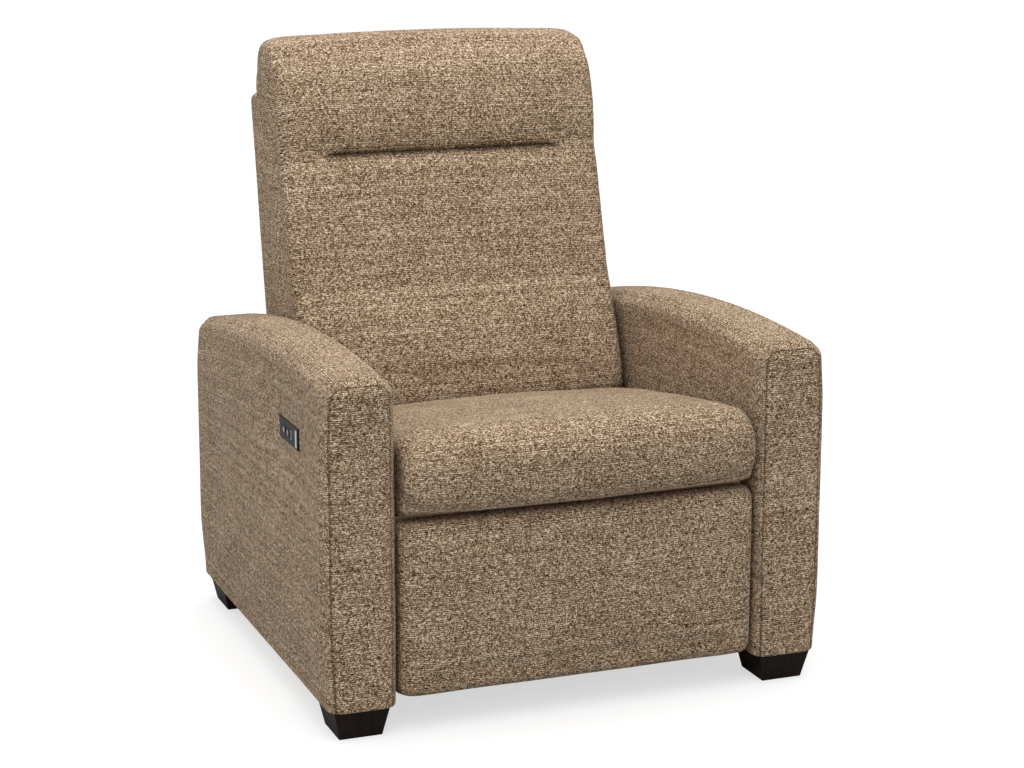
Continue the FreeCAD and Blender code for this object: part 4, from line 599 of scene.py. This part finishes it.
def rest_normals(piece, rest):
    now = coordinates(piece.data)
    set_coordinates(piece.data, rest)
    outward = normals(piece.data).copy()
    set_coordinates(piece.data, now)
    return outward


def settle(piece, rest):
    """Keeps a swollen cover close to its solid's surface, clear of its neighbours."""
    points = coordinates(piece.data)
    outward = rest_normals(piece, rest)
    offset = ((points - rest) * outward).sum(axis=1)
    excess = offset - np.clip(offset, -SWELL_SHY, SWELL_PROUD)
    set_coordinates(piece.data, points - outward * excess[:, None])


def stuffed(piece, held, rest):
    inflate(piece, held)
    settle(piece, rest)
    soften(piece, held, rounds=SWELL_SOFTENING)
    return subdivided(piece)


def spread(piece, half, amount):
    """Pushes a piece's sides outwards, most at its outermost, by an amount for each vertex."""
    points = coordinates(piece.data)
    points[:, 0] += amount * (points[:, 0] / half) * np.abs(points[:, 0] / half)
    set_coordinates(piece.data, points)


def finish_soft(piece, node, body):
    wrapped_weave(piece)
    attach(piece, body)
    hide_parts(node)
    return piece


def no_seam_shade(piece):
    set_seam_shade(piece, np.zeros(len(piece.data.vertices)))


def seat_cushion():
    low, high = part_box("seat_cushion")
    piece = soft_copy("seat_cushion", "seat_cushion_cover", PAD_VOXEL)
    height = coordinates(piece.data)[:, 2]
    base = 1 - smooth(low.z + CUSHION_HELD, low.z + CUSHION_FREE, height)
    soften(piece, base, rounds=10)
    # the front, ahead of the arms, is free to spread in front of them
    points = coordinates(piece.data)
    arms_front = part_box("left_arm_cover")[0].y
    ahead = smooth(arms_front + CUSHION_CLEAR, arms_front - CUSHION_BLEND, points[:, 1])
    spread(piece, high.x, CUSHION_SPREAD * ahead)
    piece = stuffed(piece, base, coordinates(piece.data))
    ripples(piece, wave=110 * MM, height=1.1 * MM, seed=3)
    no_seam_shade(piece)
    return finish_soft(piece, "seat_cushion", "carriage")


def evened(points):
    """Points of the pad whose front runs in one smooth sweep below the tuck, with no crease across it."""
    height = points[:, 2]
    middle = np.abs(points[:, 0]) < SWEEP_HALF
    levels = np.arange(SWEEP_LOW, SWEEP_HIGH + SWEEP_ABOVE, SWEEP_STEP)
    slices = [middle & (np.abs(height - level) < 1.5 * SWEEP_STEP) for level in levels]
    front = np.array([points[chosen, 1].min() for chosen in slices])
    reach = np.arange(-SWEEP_REACH, SWEEP_REACH + 1) * SWEEP_STEP
    kernel = np.exp(-((reach / SWEEP_WIDTH) ** 2))
    padded = np.pad(front, SWEEP_REACH, mode="reflect", reflect_type="odd")
    swept = np.convolve(padded, kernel / kernel.sum(), "valid")
    shift = np.interp(height, levels, swept - front)
    above = smooth(SWEEP_LOW, SWEEP_LOW + SWEEP_LOW_BLEND, height)
    below = smooth(SWEEP_HIGH, SWEEP_HIGH - SWEEP_HIGH_BLEND, height)
    depth = smooth(SWEEP_DEPTH_START, SWEEP_DEPTH_END, before_shell(points))
    result = points.copy()
    result[:, 1] += shift * above * below * depth
    return result


def before_shell(points):
    """Distance of each point in front of the plane of the outer back's front."""
    shell_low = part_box("outer_back")[0]
    plane = shell_low.y + (points[:, 2] - shell_low.z) * math.tan(BACK_LEAN)
    return (plane - points[:, 1]) * math.cos(BACK_LEAN)


def tuck_share(points):
    """How deep in the headrest's tuck each point of the pad lies, from 0 to 1."""
    ends = smooth(TUCK_HALF + 8 * MM, TUCK_HALF - 6 * MM, np.abs(points[:, 0]))
    front = smooth(PAD_FRONT_Y + 20 * MM, PAD_FRONT_Y - 20 * MM, points[:, 1])
    return np.exp(-(((points[:, 2] - TUCK_HEIGHT) / TUCK_WIDTH) ** 2)) * ends * front


def back_pad():
    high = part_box("back_pad")[1]
    piece = soft_copy("back_pad", "back_pad_cover", PAD_VOXEL)
    points = coordinates(piece.data)
    near_tuck = np.abs(points[:, 2] - TUCK_HEIGHT) < TUCK_KEEP
    near_tuck &= np.abs(points[:, 0]) < TUCK_HALF + 10 * MM
    near_tuck &= points[:, 1] < PAD_FRONT_Y
    rear = smooth(PAD_FREE, PAD_HELD, before_shell(points))
    held = np.maximum(near_tuck, rear)
    soften(piece, held, rounds=14)
    set_coordinates(piece.data, evened(coordinates(piece.data)))
    spread(piece, high.x, PAD_SPREAD)
    piece = stuffed(piece, held, coordinates(piece.data))
    ripples(piece, wave=120 * MM, height=1.1 * MM, seed=5)
    points = coordinates(piece.data)
    # the tuck below the headrest is pressed in, and the tweed darkens it with painted shade
    seam = tuck_share(points)
    points[:, 1] += TUCK_DEPTH * seam
    set_coordinates(piece.data, points)
    set_seam_shade(piece, seam)
    return finish_soft(piece, "back_pad", "back")


def footrest_pad():
    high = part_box("footrest_pad")[1]
    piece = soft_copy("footrest_pad", "footrest_cover", PAD_VOXEL)
    base = smooth(high.y - FOOTREST_FREE, high.y - FOOTREST_HELD, coordinates(piece.data)[:, 1])
    soften(piece, base, rounds=5)
    piece = stuffed(piece, base, coordinates(piece.data))
    ripples(piece, wave=120 * MM, height=0.8 * MM, seed=7)
    no_seam_shade(piece)
    return finish_soft(piece, "footrest_pad", "footrest")


def outer_back():
    piece = soft_copy("outer_back", "outer_back_cover", SHELL_VOXEL)
    spread(piece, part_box("outer_back")[1].x, SHELL_SPREAD)
    piece = subdivided(piece)
    ripples(piece, wave=140 * MM, height=0.8 * MM, seed=9)
    no_seam_shade(piece)
    return finish_soft(piece, "outer_back", "back")


def rear_panel():
    piece = soft_copy("rear_base_panel", "rear_base_cover", REAR_PANEL_VOXEL)
    no_seam_shade(piece)
    return finish_soft(piece, "rear_base_panel", "base")


def button_marks():
    """A soft round mark that stands up from each button."""
    marks = []
    for name in ("open_button", "close_button"):
        low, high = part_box(name)
        middle = (low + high) / 2
        points = [(low.x - DOT_HEIGHT, middle.y, middle.z)]
        for radius, height in DOT_RINGS:
            for i in range(DOT_SIDES):
                angle = 2 * math.pi * i / DOT_SIDES
                sideways = radius * math.cos(angle)
                upwards = radius * math.sin(angle)
                points.append((low.x - height, middle.y + sideways, middle.z + upwards))
        starts = [1 + DOT_SIDES * ring for ring in range(len(DOT_RINGS))]
        faces = []
        for i in range(DOT_SIDES):
            after = (i + 1) % DOT_SIDES
            faces.append((0, 1 + after, 1 + i))
            for start, outer in zip(starts, starts[1:]):
                faces.append((start + i, start + after, outer + after, outer + i))
        faces.append([starts[-1] + i for i in range(DOT_SIDES)])
        mark = mesh_piece(name + "_mark", points, faces)
        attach(mark, name)
        marks.append(mark)
    return marks


# Materials


class Graph:
    """Builds a material's nodes as expressions."""

    def __init__(self, name, **sockets):
        self.material = bpy.data.materials.new(name)
        self.material.use_nodes = True
        self.tree = self.material.node_tree
        self.shader = self.tree.nodes["Principled BSDF"]
        for key, value in sockets.items():
            self.shader.inputs[key.replace("_", " ")].default_value = value

    def new(self, kind, inputs=(), out=0, **settings):
        node = self.tree.nodes.new("ShaderNode" + kind)
        for key, value in settings.items():
            setattr(node, key, value)
        for key, value in dict(inputs).items():
            self.feed(node.inputs[key], value)
        return node.outputs[out]

    def feed(self, socket, value):
        if isinstance(value, bpy.types.NodeSocket):
            self.tree.links.new(value, socket)
        else:
            socket.default_value = value

    def maths(self, operation, *values):
        return self.new("Math", dict(enumerate(values)), operation=operation)

    def vector(self, x, y, z=0.0):
        return self.new("CombineXYZ", {"X": x, "Y": y, "Z": z})

    def noise(self, vector, scale, detail=2.0, roughness=0.5):
        inputs = {"Vector": vector, "Scale": scale, "Detail": detail, "Roughness": roughness}
        return self.new("TexNoise", inputs)

    def weighted(self, *parts):
        """The sum of values, each times its weight."""
        terms = [self.maths("MULTIPLY", value, weight) for value, weight in parts]
        total = terms[0]
        for term in terms[1:]:
            total = self.maths("ADD", total, term)
        return total

    def mix(self, share, first, second):
        node = self.tree.nodes.new("ShaderNodeMix")
        node.data_type = "RGBA"
        self.feed(node.inputs["Factor"], share)
        self.feed(node.inputs[6], first)
        self.feed(node.inputs[7], second)
        return node.outputs[2]

    def ramp(self, value, stops):
        node = self.tree.nodes.new("ShaderNodeValToRGB")
        self.feed(node.inputs["Fac"], value)
        elements = node.color_ramp.elements
        while len(elements) < len(stops):
            elements.new(0.5)
        for element, (place, shade) in zip(elements, stops):
            element.position = place
            element.color = shade
        return node.outputs["Color"]

    def relief(self, height, distance, strength):
        return self.new("Bump", {"Height": height, "Distance": distance, "Strength": strength})

    def shade(self, **sockets):
        for key, value in sockets.items():
            self.feed(self.shader.inputs[key.replace("_", " ")], value)
        return self.material


# The tweed: its yarns' pitch and sway, how much each part of the weave lightens a yarn,
# the levels of the darkest and lightest yarns, and how dark the painted shade in the gaps between yarns and
# in the seams is.
YARN_PITCH = 1.75 * MM
YARN_SWAY = 1.2 * MM
STREAK_WEIGHT = 1.50
FLECK_WEIGHT = 0.34
SLUB_WEIGHT = 0.26
PLY_WEIGHT = 0.10
ROW_WEIGHT = 0.12
BROAD_WEIGHT = 0.12
DARKEST_LEVEL = 0.93
LIGHTEST_LEVEL = 1.49
GAP_SHADE_SHARE = 0.28
SEAM_SHADE_SHARE = 0.8
YARN_COLOURS = (
    (0.02, colour(52, 36, 22)),
    (0.20, colour(96, 74, 52)),
    (0.40, colour(132, 108, 83)),
    (0.58, colour(160, 136, 109)),
    (0.78, colour(196, 172, 144)),
    (0.98, colour(240, 220, 195)),
)


def tweed():
    """A weave of slubbed yarns in browns and beiges, with light and dark streaks along the weft, and
    painted shade between the yarns and in the seams.
    """
    g = Graph("tweed", Roughness=0.95, Specular_IOR_Level=0.1, Sheen_Weight=0.03)
    place = g.new("Attribute", attribute_name="weave", out="Vector")
    split = g.tree.nodes.new("ShaderNodeSeparateXYZ")
    g.feed(split.inputs[0], place)
    sway = g.maths("MULTIPLY", g.maths("SUBTRACT", g.noise(place, 30.0), 0.5), YARN_SWAY)
    u = g.maths("DIVIDE", split.outputs["X"], YARN_PITCH)
    v = g.maths("DIVIDE", g.maths("ADD", split.outputs["Y"], sway), YARN_PITCH)
    column = g.maths("FLOOR", u)
    row = g.maths("FLOOR", v)
    cross = g.maths("SUBTRACT", g.maths("FRACT", u), 0.5)
    climb = g.maths("SUBTRACT", g.maths("FRACT", v), 0.5)
    streak = g.noise(g.vector(g.maths("MULTIPLY", u, 0.34), g.maths("MULTIPLY", row, 7.31)), 1.0, 3.0, 0.7)
    slub = g.noise(g.vector(g.maths("MULTIPLY", column, 5.77), g.maths("MULTIPLY", v, 0.35), 4.0), 1.0, 1.0)
    fleck = g.new("TexWhiteNoise", {"Vector": g.vector(column, row)}, noise_dimensions="3D")
    ply = g.new("TexWhiteNoise", {"Vector": g.vector(3.0, row, 9.0)}, noise_dimensions="3D")
    even = g.maths("FLOORED_MODULO", row, 2.0)
    broad = g.noise(place, 9.0, 3.0)
    level = g.weighted(
        (streak, STREAK_WEIGHT),
        (fleck, FLECK_WEIGHT),
        (slub, SLUB_WEIGHT),
        (ply, PLY_WEIGHT),
        (even, ROW_WEIGHT),
        (broad, BROAD_WEIGHT),
    )
    limits = {"Value": level, "From Min": DARKEST_LEVEL, "From Max": LIGHTEST_LEVEL}
    shade = g.ramp(g.new("MapRange", limits), YARN_COLOURS)
    # painted shade: yarns are round, and their edges and the gaps between the rows are darkened towards a
    # dark brown
    hollow = g.weighted((g.maths("MULTIPLY", climb, climb), 4.0), (g.maths("MULTIPLY", cross, cross), 2.0))
    gap = g.maths("MULTIPLY", hollow, GAP_SHADE_SHARE)
    shade = g.mix(gap, shade, colour(60, 42, 27))
    # painted shade: the seams' grooves and the tuck are darkened towards a dark brown
    seam = g.new("Attribute", attribute_name="seam", out="Fac")
    shade = g.mix(g.maths("MULTIPLY", seam, SEAM_SHADE_SHARE), shade, colour(44, 30, 20))
    lumps = g.maths("SUBTRACT", g.maths("MULTIPLY", g.maths("ADD", streak, fleck), 0.6), gap)
    return g.shade(Base_Color=shade, Normal=g.relief(lumps, 0.5 * MM, 0.7))


def object_space(g, scale=(1, 1, 1)):
    place = g.new("TexCoord", out="Object")
    return g.new("Mapping", {"Vector": place, "Scale": scale})


def wood(name, dark, light, gloss, grain=(22, 22, 2.2)):
    """Wood with its grain along the axis of the smallest scale."""
    g = Graph(name, Roughness=gloss, Specular_IOR_Level=0.15)
    place = object_space(g, grain)
    warp = g.noise(place, 2.2, 3.0)
    warped = g.new("VectorMath", {0: place, 1: g.vector(warp, warp, warp)}, operation="ADD")
    drawn = g.new("VectorMath", {0: place, 1: (6.0, 6.0, 3.0)}, operation="MULTIPLY")
    rings = g.noise(warped, 3.4, 8.0, 0.68)
    pores = g.noise(drawn, 7.0, 2.0)
    tone = g.weighted((rings, 0.8), (pores, 0.2))
    shade = g.ramp(tone, [(0.32, dark), (0.68, light)])
    return g.shade(Base_Color=shade, Normal=g.relief(tone, 0.4 * MM, 0.5))


def metal(name, dark, light, roughness, metallic, brushed=(30, 260, 260)):
    """Steel with fine drawn lines and a mottled plating or coat."""
    g = Graph(name, Metallic=metallic)
    place = object_space(g, brushed)
    lines = g.noise(place, 4.0, 4.0)
    mottle = g.noise(object_space(g), 60.0, 4.0)
    shade = g.ramp(mottle, [(0.3, dark), (0.7, light)])
    rough = g.new("MapRange", {"Value": lines, "To Min": roughness - 0.08, "To Max": roughness + 0.12})
    return g.shade(Base_Color=shade, Roughness=rough, Normal=g.relief(lines, 0.08 * MM, 0.4))


def moulded(name, dark, light, roughness, grain=900.0, **sockets):
    """Moulded plastic: a fine spark-eroded grain and faint flow marks."""
    g = Graph(name, **sockets)
    place = object_space(g)
    grit = g.noise(place, grain, 2.0)
    flow = g.noise(place, 24.0, 3.0)
    shade = g.ramp(flow, [(0.3, dark), (0.7, light)])
    rough = g.new("MapRange", {"Value": flow, "To Min": roughness - 0.05, "To Max": roughness + 0.08})
    return g.shade(Base_Color=shade, Roughness=rough, Normal=g.relief(grit, 0.06 * MM, 0.6))


def strap():
    """Woven elastic webbing with ribs one way and cords the other."""
    g = Graph("strap", Roughness=0.85)
    place = object_space(g)
    across = {"Vector": place, "Scale": 190.0, "Distortion": 0.3}
    ribs = g.new("TexWave", across, bands_direction="X", out="Fac")
    cords = g.new("TexWave", {"Vector": place, "Scale": 160.0}, bands_direction="Z", out="Fac")
    weave = g.maths("MULTIPLY", ribs, cords)
    shade = g.ramp(weave, [(0.0, colour(52, 48, 44)), (1.0, colour(122, 112, 98))])
    return g.shade(Base_Color=shade, Normal=g.relief(weave, 0.4 * MM, 0.7))


def finishes():
    """One material for each of the record's slots."""
    switch_shades = (colour(18, 18, 20), colour(26, 26, 28))
    bar_shades = (colour(226, 228, 232), colour(244, 244, 246))
    return {
        "upholstery": tweed(),
        "webbing": strap(),
        "frame_wood": wood("frame_wood", colour(170, 136, 96), colour(214, 186, 144), 0.6, (14, 1.6, 14)),
        "foot_wood": wood("foot_wood", colour(18, 12, 9), colour(38, 27, 21), 0.5),
        "frame_steel": metal("frame_steel", colour(34, 34, 36), colour(50, 50, 52), 0.45, 0.6),
        "zinc_steel": metal("zinc_steel", colour(150, 152, 158), colour(190, 192, 196), 0.35, 1.0),
        "roller_nylon": moulded("roller_nylon", colour(206, 202, 190), colour(224, 221, 210), 0.4),
        "motor_shell": metal("motor_shell", colour(70, 72, 76), colour(92, 94, 98), 0.4, 0.9),
        "gear_housing": moulded("gear_housing", colour(28, 28, 30), colour(38, 38, 40), 0.5),
        "switch_black": moulded("switch_black", *switch_shades, 0.35, 600.0, Specular_IOR_Level=0.15),
        "port_grey": moulded("port_grey", colour(132, 134, 138), colour(156, 158, 162), 0.4),
        "bright_bar": metal("bright_bar", *bar_shades, 0.25, 0.3, (200, 200, 20)),
        "supply_black": moulded("supply_black", colour(22, 22, 24), colour(34, 34, 36), 0.55),
    }


def dress(materials, covers, marks):
    """Gives each shown node and each cover the finish of its slot."""
    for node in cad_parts.values():
        for slot in node.material_slots:
            slot.material = materials[slot.material.name.split(".")[0]]
    for cover in covers:
        cover.data.materials.clear()
        cover.data.materials.append(materials["upholstery"])
    for mark in marks:
        mark.data.materials.append(materials["port_grey"])


# Surroundings


def white_ground():
    """A floor that reads as white from the camera and keeps the object's shadow."""
    corners = [(x * FLOOR_HALF, y * FLOOR_HALF, 0) for x, y in ((-1, -1), (1, -1), (1, 1), (-1, 1))]
    floor = mesh_piece("floor", corners, [(0, 1, 2, 3)])
    g = Graph("floor_white", Roughness=0.9, Base_Color=(FLOOR_SHADE, FLOOR_SHADE, FLOOR_SHADE, 1.0))
    rays = g.tree.nodes.new("ShaderNodeLightPath")
    glow = g.maths("MULTIPLY", rays.outputs["Is Camera Ray"], FLOOR_GLOW)
    g.shader.inputs["Emission Color"].default_value = (1, 1, 1, 1)
    g.feed(g.shader.inputs["Emission Strength"], glow)
    floor.data.materials.append(g.material)


def sky():
    world = bpy.data.worlds.new("studio")
    bpy.context.scene.world = world
    world.use_nodes = True
    tree = world.node_tree
    back = tree.nodes["Background"]
    rays = tree.nodes.new("ShaderNodeLightPath")
    level = tree.nodes.new("ShaderNodeMapRange")
    level.inputs["To Min"].default_value = SKY_LEVEL
    level.inputs["To Max"].default_value = 1.0
    tree.links.new(rays.outputs["Is Camera Ray"], level.inputs["Value"])
    back.inputs["Color"].default_value = (1, 1, 1, 1)
    tree.links.new(level.outputs["Result"], back.inputs["Strength"])


def aimed(name, data, place, aim):
    """A lamp or a camera at a place, turned towards its aim."""
    piece = link(name, data)
    piece.location = place
    piece.rotation_euler = (Vector(aim) - Vector(place)).to_track_quat("-Z", "Y").to_euler()
    return piece


def lamp(name, place, size, power):
    data = bpy.data.lights.new(name, "AREA")
    data.shape = "DISK"
    data.size = size
    data.energy = power
    aimed(name, data, place, LAMP_AIM)


def camera():
    data = bpy.data.cameras.new("view")
    data.lens = CAMERA_LENS
    data.sensor_width = SENSOR_WIDTH
    data.sensor_fit = "HORIZONTAL"
    bpy.context.scene.camera = aimed("view", data, CAMERA_PLACE, CAMERA_AIM)


camera()
covers = [arm("left"), arm("right"), seat_cushion(), back_pad(), footrest_pad(), outer_back(), rear_panel()]
marks = button_marks()
dress(finishes(), covers, marks)
white_ground()
sky()
for name, place, size, power in LAMPS:
    lamp(name, place, size, power)
bpy.context.scene.view_settings.view_transform = "Standard"
